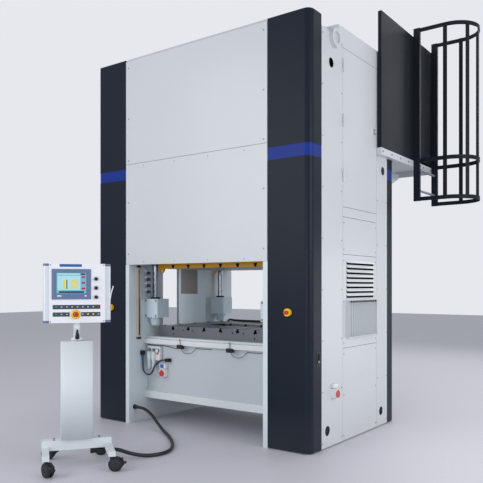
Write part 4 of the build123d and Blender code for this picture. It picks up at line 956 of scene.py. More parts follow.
@dataclass
class DieSpace:
    """What shows between the columns: bed, bolster, slide plate, guides, light curtains and fittings."""
    bolster: Point = (0.79, 0.56, 1.14)
    guide_x: float = 0.85
    pillar_x: float = 0.875
    guide_y: float = 0.64
    guide_reach: float = 0.105
    bolt_dx: Pair = (-0.082, 0.082)
    bolt_z: Pair = (1.262, 1.443)
    wiper_z: float = 1.465
    wiper: Pairs = ((0.056, 0.0), (0.056, 0.012), (0.050, 0.020), (0.0345, 0.021))
    cup_z: float = 1.235
    cup_blocks: Ring = (8, 0.071, (0.006, 0.014, 0.014))
    lens: tuple[Point, Point] = ((0.927, -0.866, 1.03), (0.931, -0.847, 1.82))
    cap_x: Pair = (0.927, 0.954)
    cap_y: Pair = (-0.8845, -0.8285)
    cap_z: Pairs = ((0.986, 1.012), (1.838, 1.864))
    valve_z: Places = (1.55, 1.625, 1.70, 1.775)
    valve: tuple[Point, Point] = ((-0.903, -0.762, -0.017), (-0.868, -0.728, 0.017))
    valve_cap: Pairs = ((0.010, 0.0), (0.010, 0.008), (0.008, 0.011))
    valve_fitting: Pairs = ((0.007, 0.0), (0.007, 0.012), (0.005, 0.014), (0.005, 0.020))
    ledge_x: float = 0.952
    # Each strip's sides and heights
    strips: tuple[tuple[float, float, float, float], ...] = ((0.702, 0.762, 0.9845, 0.9875),
                                                             (0.7595, 0.7625, 0.932, 0.9875))
    switch_x: Pair = (-0.36, 0.36)
    switch: tuple[Block, ...] = (
        ((-0.041, -0.786, 0.894), (0.041, -0.763, 0.940), 0.004, 0),
        ((-0.036, -0.7635, 0.893), (0.036, -0.735, 0.9295), 0.003, 0),
        ((-0.003, -0.772, 0.935), (0.003, -0.767, 0.996), 0.001, 1))
    air_blocks: tuple[Block, ...] = (((-0.905, -0.745, 0.73), (-0.70, -0.702, 0.90), 0.008, 0),
                                     ((-0.752, -0.7505, 0.80), (-0.728, -0.744, 0.818), 0.002, 5))
    bowl_x: Pair = (-0.865, -0.795)
    bowl_y: float = -0.752
    bowl_z: Pair = (0.755, 0.845)
    bowl: Pairs = ((0.010, -0.130), (0.022, -0.115), (0.024, -0.02), (0.028, -0.01), (0.028, 0.08))
    bowl_knob: Pairs = ((0.022, 0.0), (0.022, 0.022), (0.018, 0.028))
    gauge: Pairs = ((0.024, 0.0), (0.026, 0.004), (0.026, 0.016), (0.022, 0.018))
    gauge_at: Point = (-0.735, -0.745, 0.85)
    dial: Pairs = ((0.020, 0.0165), (0.020, 0.0185))
    coupling: Pairs = ((0.012, -0.045), (0.015, -0.035), (0.015, -0.002))
    coupling_at: Point = (-0.93, -0.8, 0.795)
    socket_trim: tuple[Block, ...] = (
        ((-0.708, -0.748, 0.641), (-0.612, -0.7005, 0.698), 0.008, 1),
        ((-0.690, -0.7535, 0.650), (-0.636, -0.747, 0.692), 0.004, 2),
        ((1.5005, -0.590, 0.592), (1.542, -0.504, 0.634), 0.010, 1))
    reveal: tuple[Point, Point] = ((-1.40, 0.4165, 1.512), (-1.10, 0.4197, 1.866))
    switch_loop: Route = (
        (0.0, -0.752, 0.90), (0.012, -0.752, 0.868), (0.06, -0.748, 0.838),
        (0.13, -0.742, 0.842), (0.17, -0.728, 0.872), (0.19, -0.706, 0.905))
    switch_run: Route = ((0.19, -0.706, 0.905), (0.3, -0.7045, 0.898), (0.42, -0.7045, 0.906))
    wall_run: Route = (
        (-0.95, -0.708, 0.915), (-0.82, -0.7055, 0.90), (-0.66, -0.706, 0.912),
        (-0.50, -0.715, 0.886), (-0.43, -0.740, 0.892), (-0.40, -0.748, 0.905))
    thick_run: Route = (
        (-0.945, 0.50, 1.10), (-0.90, 0.55, 1.08), (-0.865, 0.64, 1.075), (-0.80, 0.675, 1.085),
        (-0.74, 0.655, 1.16), (-0.66, 0.602, 1.165), (-0.58, 0.600, 1.1557), (0.0, 0.600, 1.1557),
        (0.60, 0.600, 1.1557), (0.70, 0.63, 1.165), (0.76, 0.665, 1.10), (0.86, 0.67, 1.06))
    thin_run: Route = (
        (-0.945, 0.52, 1.13), (-0.89, 0.60, 1.10), (-0.85, 0.68, 1.06), (-0.75, 0.690, 1.0185),
        (-0.3, 0.684, 1.0185), (0.3, 0.684, 1.0185), (0.86, 0.684, 1.0185))

    def build(self) -> None:
        """Dresses the nodes and adds the small pieces."""
        FRAME_ENAMEL.dress("left_side_frame", "right_side_frame", "crown")
        BED_ENAMEL.dress("bed")
        PANEL_ENAMEL.dress("slide_body")
        SLIDE_ENAMEL.dress("slide_plate")
        GROUND_STEEL.dress("bolster")
        GUIDE_ENAMEL.dress("guide_housings")
        PILLAR_CHROME.dress("guide_pillars")
        CURTAIN_ENAMEL.dress("light_curtains")
        FITTING_PLASTIC.dress("wall_fittings")
        WHITE_PLASTIC.dress("socket_bodies")
        RED_PLASTIC.dress("side_socket_lid", "front_socket_lid", "left_stop_knob", "right_stop_knob")
        YELLOW_PLASTIC.dress("stop_rings")
        self.bolster_bolts()
        self.guides()
        self.curtain_lenses()
        self.valves()
        self.ledge()
        self.service_unit()
        self.socket_fittings()
        self.reveal_plate()
        self.cables()

    def bolster_bolts(self) -> None:
        """Bolts that hold the bolster down along its two ends."""
        shape = Shape("bolster_bolts", "frame", DARK_ZINC)
        x, y, z = self.bolster
        for side in (-x, x):
            shape.screws(along((side, -y, z), (side, y, z), 5), Face.UP, Head.BOLSTER)
        shape.close()

    def guides(self) -> None:
        """Bolts on the guide housings, wipers round the pillars and a ring of dark blocks at each cup."""
        bolts = Shape("guide_bolts", "frame", BRIGHT_ZINC, DARK_ZINC)
        wipers = Shape("pillar_wipers", "frame", BLACK_RUBBER)
        for side in (-1, 1):
            x = side * self.pillar_x
            for end, face in ENDS:
                y = end * (self.guide_y + self.guide_reach)
                places = [(side * (self.guide_x + dx), y, z) for dx in self.bolt_dx for z in self.bolt_z]
                bolts.screws(places, face, Head.STRUCTURE)
                wipers.turned(self.wiper, Face.UP.at(x, end * self.guide_y, self.wiper_z))
                bolts.ring(*self.cup_blocks, Face.UP.at(x, end * self.guide_y, self.cup_z), 1)
        bolts.close()
        wipers.close()

    def curtain_lenses(self) -> None:
        """The dark lens strip in each light curtain and its end caps."""
        shape = Shape("curtain_lenses", "frame", LENS, BLACK_PLASTIC)
        (inner, outer), (near, far) = self.cap_x, self.cap_y
        for side in (-1, 1):
            low, high = ((side * x, y, z) for x, y, z in self.lens)
            shape.box(low, high, 0.0008)
            for foot, head in self.cap_z:
                shape.box((side * inner, near, foot), (side * outer, far, head), 0.003, 1)
        shape.close()

    def valves(self) -> None:
        """Valve heads on the left wall's manifold with their blue caps and push-in fittings."""
        shape = Shape("valve_heads", "frame", BLACK_PLASTIC, BLUE_PLASTIC, BRASS)
        for z in self.valve_z:
            shape.box(*self.valve, 0.003, 0, Matrix.Translation((0.0, 0.0, z)))
            shape.turned(self.valve_cap, Face.RIGHT.at(-0.868, -0.745, z), 16, 1)
            shape.turned(self.valve_fitting, Face.FRONT.at(-0.888, -0.762, z), 14, 2)
        shape.close()

    def ledge(self) -> None:
        """The pale top strips of both ledges, and the limit switches with their levers and wheels."""
        shape = Shape("ledge_strips", "frame", LEDGE_ENAMEL)
        x = self.ledge_x
        for side in (-1, 1):
            for near, far, low, high in self.strips:
                shape.box((-x, side * near, low), (x, side * far, high), 0.001)
        shape.close()
        levers = Shape("switch_levers", "frame", BLACK_PLASTIC, BRIGHT_ZINC)
        for x in self.switch_x:
            for row in self.switch:
                levers.box(*row, Matrix.Translation((x, 0.0, 0.0)))
            levers.turned([(0.011, -0.004), (0.011, 0.004)], Face.FRONT.at(x, -0.776, 0.996), 20, 1)
        levers.close()

    def service_unit(self) -> None:
        """The compressed-air unit on the bed's front: block, bowls, gauge with a red mark, and coupling."""
        shape = Shape("air_service_unit", "frame", LEDGE_ENAMEL, PEDESTAL_COAT, GREY_PLASTIC, WHITE_PLASTIC,
                      BLUE_PLASTIC, RED_PLASTIC)
        for row in self.air_blocks:
            shape.box(*row)
        for x in self.bowl_x:
            shape.turned(self.bowl, Face.UP.at(x, self.bowl_y, self.bowl_z[0]), 24, 1)
            shape.turned(self.bowl_knob, Face.UP.at(x, self.bowl_y, self.bowl_z[1]), 20, 2)
        shape.turned(self.gauge, Face.FRONT.at(*self.gauge_at), 28, 2)
        shape.turned(self.dial, Face.FRONT.at(*self.gauge_at), 28, 3)
        shape.turned(self.coupling, Face.UP.at(*self.coupling_at), 20, 4)
        shape.close()

    def socket_fittings(self) -> None:
        """The boxes above both power sockets, and the screws at the sockets' corners."""
        trim = Shape("socket_trim", "frame", BRIGHT_ZINC, WHITE_PLASTIC, BLUE_PLASTIC)
        for row in self.socket_trim:
            trim.box(*row)
        front = [(x, -0.7545, z) for x in (-0.694, -0.626) for z in (0.55, 0.63)]
        right = [(1.5545, y, z) for y in (-0.581, -0.513) for z in (0.50, 0.58)]
        trim.screws(front, Face.FRONT, Head.FITTING)
        trim.screws(right, Face.RIGHT, Head.FITTING)
        trim.close()

    def reveal_plate(self) -> None:
        """The brown-grey plate on the rear reveal of the left feed window, with its screws."""
        shape = Shape("reveal_plate", "frame", REVEAL_ENAMEL, BRIGHT_ZINC)
        shape.box(*self.reveal, 0.001)
        shape.screws([(x, self.reveal[0][1], z) for x in (-1.38, -1.12) for z in (1.53, 1.848)], Face.FRONT,
                     Head.REVEAL, 1)
        shape.close()

    def cables(self) -> None:
        """Thin cables: loops below the limit switches, runs along the ledge and two behind the bolster."""
        shape = Shape("switch_cables", "frame", HOSE_RUBBER)
        for x in self.switch_x:
            for points in (self.switch_loop, self.switch_run):
                shape.tube([(x + dx, y, z) for dx, y, z in points], 0.0028)
        shape.tube(self.wall_run, 0.0035)
        shape.close()
        bundle = Shape("bolster_cables", "frame", HOSE_RUBBER)
        bundle.tube(self.thick_run, 0.015)
        bundle.tube(self.thin_run, 0.008)
        bundle.close()


PEDESTAL_HEADING = 54.0
PEDESTAL = Matrix.Translation((-0.08, -2.49, 0.0)) @ Matrix.Rotation(math.radians(PEDESTAL_HEADING), 4, "Z")


@dataclass
class Pedestal:
    """The operator's pedestal: panel, keys, knobs, handles, column and casters, in its own frame."""
    front: float = -0.095
    page_y: float = -0.098
    screen_x: Pair = (-0.181, 0.077)
    screen_z: Pair = (1.555, 1.738)
    # Each area of the page: its sides and its ends by shares, its finish and its thickness
    page: tuple[tuple[float, float, float, float, int, float], ...] = (
        (0.004, 0.996, 0.004, 0.996, 0, 0.0006), (0.02, 0.78, 0.90, 0.97, 1, 0.0010),
        (0.81, 0.97, 0.90, 0.97, 3, 0.0010), (0.03, 0.80, 0.16, 0.86, 1, 0.0008),
        (0.22, 0.32, 0.22, 0.66, 2, 0.0012), (0.33, 0.36, 0.22, 0.66, 3, 0.0012),
        (0.50, 0.70, 0.24, 0.40, 2, 0.0012), (0.50, 0.70, 0.44, 0.64, 2, 0.0012),
        (0.84, 0.96, 0.18, 0.28, 4, 0.0012), (0.84, 0.96, 0.32, 0.42, 0, 0.0012),
        (0.84, 0.96, 0.46, 0.56, 4, 0.0012), (0.84, 0.96, 0.60, 0.70, 0, 0.0012),
        (0.84, 0.96, 0.74, 0.84, 4, 0.0012), (0.08, 0.92, 0.02, 0.10, 3, 0.0010),
        (0.02, 0.16, -0.17, -0.10, 5, 0.0008), (0.94, 1.01, -0.17, -0.10, 5, 0.0008))
    key_rows: Pair = (1.432, 1.366)
    key_pitch: float = 0.046
    light: tuple[Point, Point] = ((-0.009, -0.0058, -0.006), (0.009, -0.0045, 0.008))
    # The finish of each key's light from left to right; none below the stop's collar
    key_lights: tuple[tuple[Optional[int], ...], ...] = (
        (0, 3, 3, 3, 3, 3, 3, 3, 1),
        (0, 3, 3, None, None, 3, 2, 2, 3))
    foil_half: float = 0.019
    foil_thick: float = 0.0012
    foils: Route = ((-0.214, 0.201, 1.432), (-0.214, -0.068, 1.366), (0.034, 0.201, 1.366))
    stop: Pair = (-0.016, 1.366)
    collar: Pairs = ((0.0405, 0.0), (0.0405, 0.022), (0.037, 0.0285), (0.0215, 0.0285), (0.0215, 0.0))
    knob_x: float = 0.164
    pointer: tuple[Point, Point] = ((-0.0015, -0.0248, 0.002), (0.0015, -0.0238, 0.016))
    dial: Ring = (16, 0.0225, (0.004, 0.0012, 0.0012))
    knob_z: Places = (1.52, 1.602, 1.684)
    pen: Route = (
        (0.290, -0.075, 1.49), (0.294, -0.080, 1.53), (0.306, -0.084, 1.58),
        (0.318, -0.086, 1.62))
    neck: Pairs = ((0.040, -0.016), (0.052, -0.012), (0.052, 0.006), (0.036, 0.012))
    grip: Pairs = (
        (0.013, 0.0), (0.019, 0.006), (0.019, 0.024), (0.012, 0.060), (0.007, 0.084),
        (0.004, 0.088))
    sleeve: Pairs = ((0.009, 0.0), (0.009, 0.062), (0.016, 0.064), (0.016, 0.083), (0.011, 0.085))
    column_half: float = 0.1428
    column_z: Pair = (0.236, 1.124)
    skin_y: Pair = (0.050, 0.078)
    skin_power: float = 0.8
    casters: tuple[tuple[str, float], ...] = (
        ("front_left", -151.0), ("rear_left", -108.0),
        ("front_right", -108.0), ("rear_right", 78.0))
    hub: Pairs = ((0.044, 0.0), (0.044, 0.0010), (0.038, 0.0018), (0.014, 0.0018))
    hub_out: float = 0.0285
    spokes: Ring = (6, 0.027, (0.016, 0.004, 0.0042))
    brake_band: Pair = (0.065, 0.071)
    brake: tuple[Block, ...] = (
        ((-0.0055, 0.014, 0.046), (0.0055, 0.066, 0.056), 0.001, 0),
        ((-0.021, 0.064, 0.006), (0.021, 0.094, 0.020), 0.005, 0))

    def build(self) -> None:
        """Dresses the nodes and adds the picture on the screen, legends, marks, trim and casters."""
        PEDESTAL_COAT.dress("pedestal_frame")
        PANEL_COAT.dress("panel_housing")
        HANDLE_ALLOY.dress("panel_handles")
        BEZEL.dress("panel_screen")
        BLACK_PLASTIC.dress("panel_keys", "lower_knob", "middle_knob", "upper_knob", "hose_connector")
        RED_PLASTIC.dress("panel_stop_knob")
        for corner, rest in self.casters:
            BLACK_PLASTIC.dress(f"{corner}_caster_fork")
            CASTER_RUBBER.dress(f"{corner}_caster_wheel")
            self.caster(corner, PEDESTAL_HEADING + rest)
        self.screen_page()
        self.keys()
        self.knob_marks()
        self.panel_trim()
        self.column_trim()
        self.column_skins()

    def screen_page(self) -> None:
        """A plain operating page: a header, two gauges, a row of fields and a foot line; no lettering."""
        shape = Shape("screen_page", "panel_head", SCREEN_CYAN, SCREEN_PALE, SCREEN_YELLOW, SCREEN_DARK,
                      KEY_RED, SCREEN_WHITE)
        (x0, x1), (z0, z1) = self.screen_x, self.screen_z
        wide, tall = x1 - x0, z1 - z0
        for left, right, low, high, finish, lift in self.page:
            shape.box((x0 + wide * left, self.page_y - lift, z0 + tall * low),
                      (x0 + wide * right, self.page_y, z0 + tall * high), 0.0, finish, PEDESTAL)
        shape.close()

    def keys(self) -> None:
        """A backing foil for the keys, the small lit legends on them, and the stop's yellow collar."""
        foil = Shape("key_foils", "panel_head", KEY_FOIL)
        y = self.front
        for left, right, z in self.foils:
            foil.box((left, y - self.foil_thick, z - self.foil_half), (right, y, z + self.foil_half), 0.0005,
                     0, PEDESTAL)
        foil.close()
        lights = Shape("key_lights", "panel_head", KEY_GREEN, KEY_RED, KEY_YELLOW, KEY_GREY)
        for z, row in zip(self.key_rows, self.key_lights):
            for i, finish in enumerate(row):
                if finish is not None:
                    place = PEDESTAL @ Matrix.Translation(((i - len(row) // 2) * self.key_pitch, y, z))
                    lights.box(*self.light, 0.0005, finish, place)
        lights.close()
        ring = Shape("stop_ring_yellow", "panel_head", YELLOW_PLASTIC)
        ring.turned(self.collar, PEDESTAL @ Face.FRONT.at(self.stop[0], y, self.stop[1]), 40)
        ring.close()

    def knob_marks(self) -> None:
        """A pale pointer on each knob and a ring of dial strokes round it."""
        x, y = self.knob_x, self.front
        for name, z in zip(("lower_knob", "middle_knob", "upper_knob"), self.knob_z):
            mark = Shape(f"{name}_pointer", name, WHITE_PLASTIC)
            mark.box(*self.pointer, 0.0003, 0, PEDESTAL @ Matrix.Translation((x, y, z)))
            mark.close()
        dials = Shape("dial_strokes", "panel_head", SCREEN_DARK)
        for z in self.knob_z:
            dials.ring(*self.dial, PEDESTAL @ Face.FRONT.at(x, y, z))
        dials.close()

    def panel_trim(self) -> None:
        """The blue strip on top, the pen on the right handle and the corner screws."""
        shape = Shape("panel_trim", "panel_head", BLUE_STRIP, BRIGHT_ZINC, WHITE_PLASTIC)
        shape.box((-0.155, -0.0962, 1.791), (0.038, -0.0945, 1.816), 0.0005, 0, PEDESTAL)
        shape.screws([(x, self.front, z) for x in (-0.232, 0.232) for z in (1.302, 1.808)], Face.FRONT,
                     Head.PANEL_CORNER, 1, PEDESTAL)
        shape.tube([tuple(PEDESTAL @ Vector(point)) for point in self.pen], 0.005, 2)
        shape.close()

    def column_trim(self) -> None:
        """The collar at the neck, the lever's grip and sleeve, and screws on the base."""
        shape = Shape("pedestal_trim", "frame", PANEL_COAT, BRIGHT_ZINC, BLACK_PLASTIC)
        shape.turned(self.neck, PEDESTAL @ Face.UP.at(0.0, 0.0, 1.14), 36)
        shape.screws([(x, y, 0.235) for x in (-0.2, 0.2) for y in (-0.029, 0.029)], Face.UP, Head.DECK, 1,
                     PEDESTAL)
        shape.turned(self.grip, PEDESTAL @ Face.UP.at(0.0, -0.066, 1.140), 20, 2)
        shape.turned(self.sleeve, PEDESTAL @ Face.FRONT.at(0.0, -0.031, 1.1795), 20, 2)
        shape.close()

    def column_skins(self) -> None:
        """The crowned sheets that wrap the column's front and back."""
        shape = Shape("column_skins", "frame", PEDESTAL_COAT)
        edge, crown = self.skin_y
        angles = [math.radians(a) for a in range(-90, 91, 5)]
        for way in (-1, 1):
            outline = [(self.column_half * math.sin(a),
                        way * (edge + (crown - edge) * math.cos(a) ** self.skin_power)) for a in angles]
            shape.prism(outline, *self.column_z, PEDESTAL)
        shape.close()

    def caster(self, corner: str, heading: float) -> None:
        """The hub caps and the brake pedal of one caster.

        Args:
            corner: The caster's place, as the nodes name it.
            heading: The direction of its wheels' axis, in degrees from +X.
        """
        low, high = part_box(f"{corner}_caster_wheel")
        facing = Matrix.Translation((low + high) / 2) @ Matrix.Rotation(math.radians(heading), 4, "Z")
        hubs = Shape(f"{corner}_caster_hubs", f"{corner}_wheel", CASTER_HUB, BLACK_PLASTIC)
        for turn in (-QUARTER, QUARTER):
            end = facing @ (Matrix.Rotation(turn, 4, "Y") @ Matrix.Translation((0, 0, self.hub_out)))
            hubs.turned(self.hub, end, 28)
            hubs.ring(*self.spokes, end, 1)
        hubs.close()
        brake = Shape(f"{corner}_caster_brake", f"{corner}_fork", BLACK_PLASTIC)
        arc = [math.radians(a) for a in range(-8, 46, 6)]
        inner, outer = self.brake_band
        band = [(inner * math.cos(a), inner * math.sin(a)) for a in arc]
        band += [(outer * math.cos(a), outer * math.sin(a)) for a in reversed(arc)]
        on_edge = facing @ Matrix.Rotation(QUARTER, 4, "Z") @ Matrix.Rotation(QUARTER, 4, "X")
        brake.prism(band, -0.026, 0.026, on_edge)
        for row in self.brake:
            brake.box(*row, facing)
        brake.close()


@dataclass
class Platform:
    """The rear service platform: deck, guard sheets, ladder, cage and gate."""
    deck_top: float = 3.2
    guard_top: float = 4.76
    rail: float = 0.030
    side_guard: float = 1.557
    side_posts: Places = (0.540, 0.97, 1.41)
    rear_guard: float = 2.157
    rear_posts: Places = (0.486, 1.0, 1.52)
    rung_x: float = 1.60
    rung_y: Pair = (1.522, 2.118)
    rung_z: Pair = (2.83, 3.09)
    rib_radii: Pair = (0.0162, 0.0148)
    ribs: int = 48
    plates: tuple[Block, ...] = (((0.486, 1.002, 0.0), (1.52, 2.125, 0.002), 0.0006, 0),
                                 ((0.484, 1.002, 0.0), (0.488, 2.125, 0.1), 0.001, 1))
    edge_bolts: tuple[Point, Point] = ((1.56, 0.55, 3.16), (1.56, 2.08, 3.16))
    stile_x: float = 1.64
    stile_y: Pair = (1.50, 2.14)
    stile_z: Places = (3.10, 3.15, 4.70, 4.75)
    bracket_x: Pair = (0.566, 1.186)
    bracket_y: float = 1.03
    bracket_z: Places = (2.76, 2.85, 2.94)

    def build(self) -> None:
        """Dresses the nodes and adds the guards' frames, tread plate, kick board, sleeves and bolts."""
        DARK_ENAMEL.dress("guard_panels", "ladder_gate", "ladder_cage")
        PANEL_ENAMEL.dress("platform_deck")
        self.frames()
        self.tread()
        self.rungs()
        self.bolts()

    def frames(self) -> None:
        """Box-section frames on the inside of the guard sheets."""
        shape = Shape("guard_frames", "frame", DARK_ENAMEL)
        wide = self.rail
        foot, head = self.deck_top + 0.005, self.guard_top - 0.002
        rails = (self.deck_top + 0.02, (self.deck_top + self.guard_top) / 2, head - wide)
        x, y = self.side_guard, self.rear_guard
        for posts in (self.side_posts, self.rear_posts):
            bars = [(a, a + wide, foot, head) for a in posts]
            bars += [(a + wide, b, z, z + wide) for z in rails for a, b in zip(posts, posts[1:])]
            for a, b, low, high in bars:
                if posts is self.side_posts:
                    shape.box((x - wide, a, low), (x, b, high), 0.003)
                else:
                    shape.box((a, y - wide, low), (b, y, high), 0.003)
        shape.close()

    def tread(self) -> None:
        """Rolled tread plate on the deck and a kick board along its inner edge."""
        shape = Shape("tread_plates", "frame", TREAD, DARK_ENAMEL)
        for row in self.plates:
            shape.box(*row, Matrix.Translation((0.0, 0.0, self.deck_top)))
        shape.close()

    def rungs(self) -> None:
        """Ribbed zinc sleeves on the ladder's rungs, for the feet to grip."""
        shape = Shape("rung_sleeves", "frame", BRIGHT_ZINC)
        near, far = self.rung_y
        profile = [(self.rib_radii[i % 2], (far - near) * i / self.ribs) for i in range(self.ribs + 1)]
        for z in self.rung_z:
            shape.turned(profile, Face.BACK.at(self.rung_x, near, z), 24)
        shape.close()

    def bolts(self) -> None:
        """Bolts through the deck's edge, the ladder's stiles and the deck's brackets."""
        shape = Shape("platform_bolts", "frame", BRIGHT_ZINC)
        shape.screws(along(*self.edge_bolts, 7), Face.RIGHT, Head.DECK)
        for y in self.stile_y:
            shape.screws([(self.stile_x, y, z) for z in self.stile_z], Face.RIGHT, Head.DECK)
        for x in self.bracket_x:
            shape.screws([(x, self.bracket_y, z) for z in self.bracket_z], Face.BACK, Head.STRUCTURE)
        shape.close()


@dataclass
class Drive:
    """The drive behind the flywheel door: flywheel, belt, motor, shaft, rods and clutch."""
    shaft_z: float = 3.35
    flywheel_face: float = 1.40
    clutch_face: float = -1.26
    motor_x: Pair = (1.025, 1.270)
    motor_z: float = 2.69
    motor_radius: float = 0.125
    hub_bolts: Ring = (10, 0.095, (0.024, 0.024, 0.016))
    rim_plugs: Ring = (24, 0.395, (0.018, 0.018, 0.006))
    motor_bolts: Ring = (8, 0.1, (0.012, 0.012, 0.008))
    fins: int = 44
    fin_rise: float = 0.004
    fin_size: Pair = (0.018, 0.003)
    fin_margin: float = 0.05
    terminal_box: tuple[Point, Point] = ((1.09, 0.11, 2.70), (1.20, 0.165, 2.79))
    disc_bolts: Ring = (16, 0.215, (0.018, 0.018, 0.012))
    cylinder_bolts: Ring = (8, 0.13, (0.022, 0.022, 0.012))
    roof_half: float = 1.4
    roof_y: Pair = (-0.40, 0.57)
    roof_top: float = 4.31
    roof_ends: Pairs = ((-0.93, -0.46), (0.63, 0.93))
    roof_end_x: Pair = (-0.97, 0.97)
    roof_end_top: float = 4.18

    def build(self) -> None:
        """Dresses the nodes and adds bolts, balance plugs, cooling fins and the roof's bolts."""
        CAST_ENAMEL.dress("flywheel", "motor_pulley", "drive_motor", "clutch_brake")
        TURNED_STEEL.dress("eccentric_shaft", "connecting_rods")
        BRONZE.dress("main_bearings")
        BELT_RUBBER.dress("drive_belt")
        self.flywheel_bolts()
        self.motor_fins()
        self.clutch_bolts()
        self.roof_bolts()

    def flywheel_bolts(self) -> None:
        """Hub bolts and balance plugs on the flywheel's outer face."""
        shape = Shape("flywheel_bolts", "flywheel", DARK_ZINC, BRIGHT_ZINC)
        face = Face.RIGHT.at(self.flywheel_face, 0.0, self.shaft_z)
        shape.ring(*self.hub_bolts, face)
        shape.ring(*self.rim_plugs, face, 1)
        shape.close()

    def motor_fins(self) -> None:
        """Cooling fins round the motor, the bolts of its end plate and its terminal box."""
        shape = Shape("motor_fins", "frame", CAST_ENAMEL, DARK_ZINC)
        rear, front = self.motor_x
        shape.ring(self.fins, self.motor_radius + self.fin_rise,
                   (*self.fin_size, front - rear - self.fin_margin),
                   Face.RIGHT.at((rear + front) / 2, 0.0, self.motor_z))
        shape.ring(*self.motor_bolts, Face.RIGHT.at(front, 0.0, self.motor_z), 1)
        shape.box(*self.terminal_box, 0.006)
        shape.close()

    def clutch_bolts(self) -> None:
        """Two rings of bolts on the clutch and brake unit."""
        shape = Shape("clutch_bolts", "eccentric", DARK_ZINC)
        face = Face.RIGHT.at(self.clutch_face, 0.0, self.shaft_z) @ Matrix.Rotation(math.pi, 4, "X")
        shape.ring(*self.disc_bolts, face)
        shape.ring(*self.cylinder_bolts, face)
        shape.close()

    def roof_bolts(self) -> None:
        """Cover bolts on the roof and on its lower ends."""
        shape = Shape("roof_bolts", "frame", BRIGHT_ZINC)
        half, top, low = self.roof_half, self.roof_top, self.roof_end_top
        for y in self.roof_y:
            shape.screws(along((-half, y, top), (half, y, top), 9), Face.UP, Head.STRUCTURE)
        for near, far in self.roof_ends:
            for x in self.roof_end_x:
                shape.screws(along((x, near, low), (x, far, low), 3), Face.UP, Head.ROOF_EDGE)
        shape.close()


@dataclass
class Hose:
    """A hose on one smooth line."""
    name: str
    node: str
    points: Sequence[Point]
    diameter: float
    length: float
    stiffness: str
    fellows: tuple[str, ...] = ()

    def build(self) -> None:
        line = smooth_line(self.name, self.points, self.diameter / 2, 5)
        line.data.splines[0].resolution_u = 12
        line.data.materials.append(HOSE_RUBBER.material())
        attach(line, "frame")
        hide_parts(self.node)
        log.info("hose %s, %.2f m", self.name, self.length)


def hoses() -> list[Hose]:
    """The control hose on the floor and the short air hose in front of the bed.

    Returns:
        Both hoses.
    """
    control = [(-0.893, -0.914, 0.184), (-0.790, -0.914, 0.184), (-0.640, -0.948, 0.134),
               (-0.480, -1.016, 0.066), (-0.300, -1.118, 0.024), (-0.110, -1.240, 0.019),
               (0.075, -1.385, 0.0185), (0.235, -1.540, 0.0185), (0.338, -1.700, 0.0185),
               (0.352, -1.850, 0.0185), (0.275, -1.985, 0.019), (0.196, -2.110, 0.060),
               (0.1281, -2.2036, 0.112), (0.0611, -2.2958, 0.112)]
    service = [(-0.930, -0.800, 0.795), (-0.930, -0.800, 0.700), (-0.926, -0.796, 0.606),
               (-0.882, -0.790, 0.561), (-0.820, -0.787, 0.562), (-0.778, -0.782, 0.606),
               (-0.767, -0.775, 0.660), (-0.722, -0.762, 0.708), (-0.668, -0.745, 0.745),
               (-0.608, -0.745, 0.745)]
    return [Hose("control_line", "control_hose", control, 0.035, 2.22, "medium", ("hose_connector",)),
            Hose("air_line", "service_hose", service, 0.018, 0.61, "limp")]


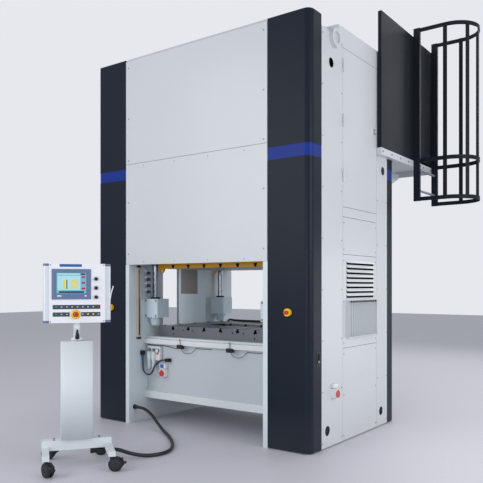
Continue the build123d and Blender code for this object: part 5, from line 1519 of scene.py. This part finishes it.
@dataclass
class Studio:
    """Plain pale floor, soft light and the camera at the photograph's angle."""
    eye: Point = (4.569, -6.302, 1.62)
    heading: float = 36.2
    focal_px: float = 639.0
    frame_px: int = 483
    horizon_px: float = 286.0
    floor_half: float = 30.0
    # Each lamp's name, its place, the point that it faces, its side in metres and its power in watts
    lamps: tuple[tuple[str, Point, Point, float, float], ...] = (
        ("key", (-3.0, -8.5, 4.2), (0.0, -0.5, 1.8), 5.0, 225.0),
        ("right", (8.2, -1.2, 3.2), (1.2, 0.0, 1.4), 4.0, 205.0),
        ("back", (1.0, 8.0, 6.5), (0.0, 0.5, 2.5), 5.0, 260.0),
        ("fill", (3.2, -8.2, 2.0), (-0.9, 0.0, 1.4), 2.5, 105.0),
        ("window", (4.9, 4.8, 1.2), (1.5, -0.7, 1.0), 2.2, 28.0))

    def build(self) -> None:
        """Makes the floor, the world, the lamps and the camera."""
        self.floor()
        self.world()
        for name, eye, aim, size, power in self.lamps:
            data = bpy.data.lights.new(name, "AREA")
            data.energy = power
            data.size = size
            lamp = add_object(name, data)
            lamp.location = eye
            lamp.rotation_euler = (Vector(aim) - Vector(eye)).to_track_quat("-Z", "Y").to_euler()
        self.camera()
        bpy.context.scene.view_settings.view_transform = "Standard"

    def floor(self) -> None:
        """A wide plain floor."""
        shape = bmesh.new()
        bmesh.ops.create_grid(shape, x_segments=2, y_segments=2, size=self.floor_half)
        mesh = bpy.data.meshes.new("studio_floor")
        shape.to_mesh(mesh)
        shape.free()
        mesh.materials.append(FLOOR_PAINT.material())
        add_object("studio_floor", mesh)

    def world(self) -> None:
        """An even pale sky that also shows in gloss."""
        world = bpy.data.worlds.new("studio_light")
        bpy.context.scene.world = world
        world.use_nodes = True
        tree = world.node_tree
        tree.nodes.clear()
        rays = add_node(tree, "ShaderNodeLightPath").node.outputs
        seen = add_node(tree, "ShaderNodeMath", {0: rays["Is Camera Ray"], 1: rays["Is Transmission Ray"]},
                        operation="MAXIMUM")
        light = add_node(tree, "ShaderNodeBackground", {"Color": linear("#EDF1F7"), "Strength": 0.62})
        pale = add_node(tree, "ShaderNodeBackground", {"Color": linear("#E6E8EE"), "Strength": 1.0})
        add_node(tree, "ShaderNodeOutputWorld", {0: add_node(tree, "ShaderNodeMixShader",
                                                             {0: seen, 1: light, 2: pale})})

    def camera(self) -> None:
        """The camera: level, with a shift that sets the horizon where the photograph has it."""
        data = bpy.data.cameras.new("photo_camera")
        data.sensor_fit = "HORIZONTAL"
        data.sensor_width = 36.0
        data.lens = self.focal_px / self.frame_px * data.sensor_width
        data.shift_y = (self.horizon_px - self.frame_px / 2) / self.frame_px
        camera = add_object("photo_camera", data)
        camera.location = self.eye
        camera.rotation_euler = (QUARTER, 0.0, math.radians(self.heading))
        bpy.context.scene.camera = camera


def main() -> None:
    """Builds the press's looks in order and reports each piece."""
    logging.basicConfig(level=logging.INFO, format="%(name)s: %(message)s")
    Studio().build()
    for hose in hoses():
        hose.build()
    for part in (Cladding(), DieSpace(), Pedestal(), Platform(), Drive()):
        part.build()
        log.info("%s finished", type(part).__name__)


if __name__ == "__main__":
    main()
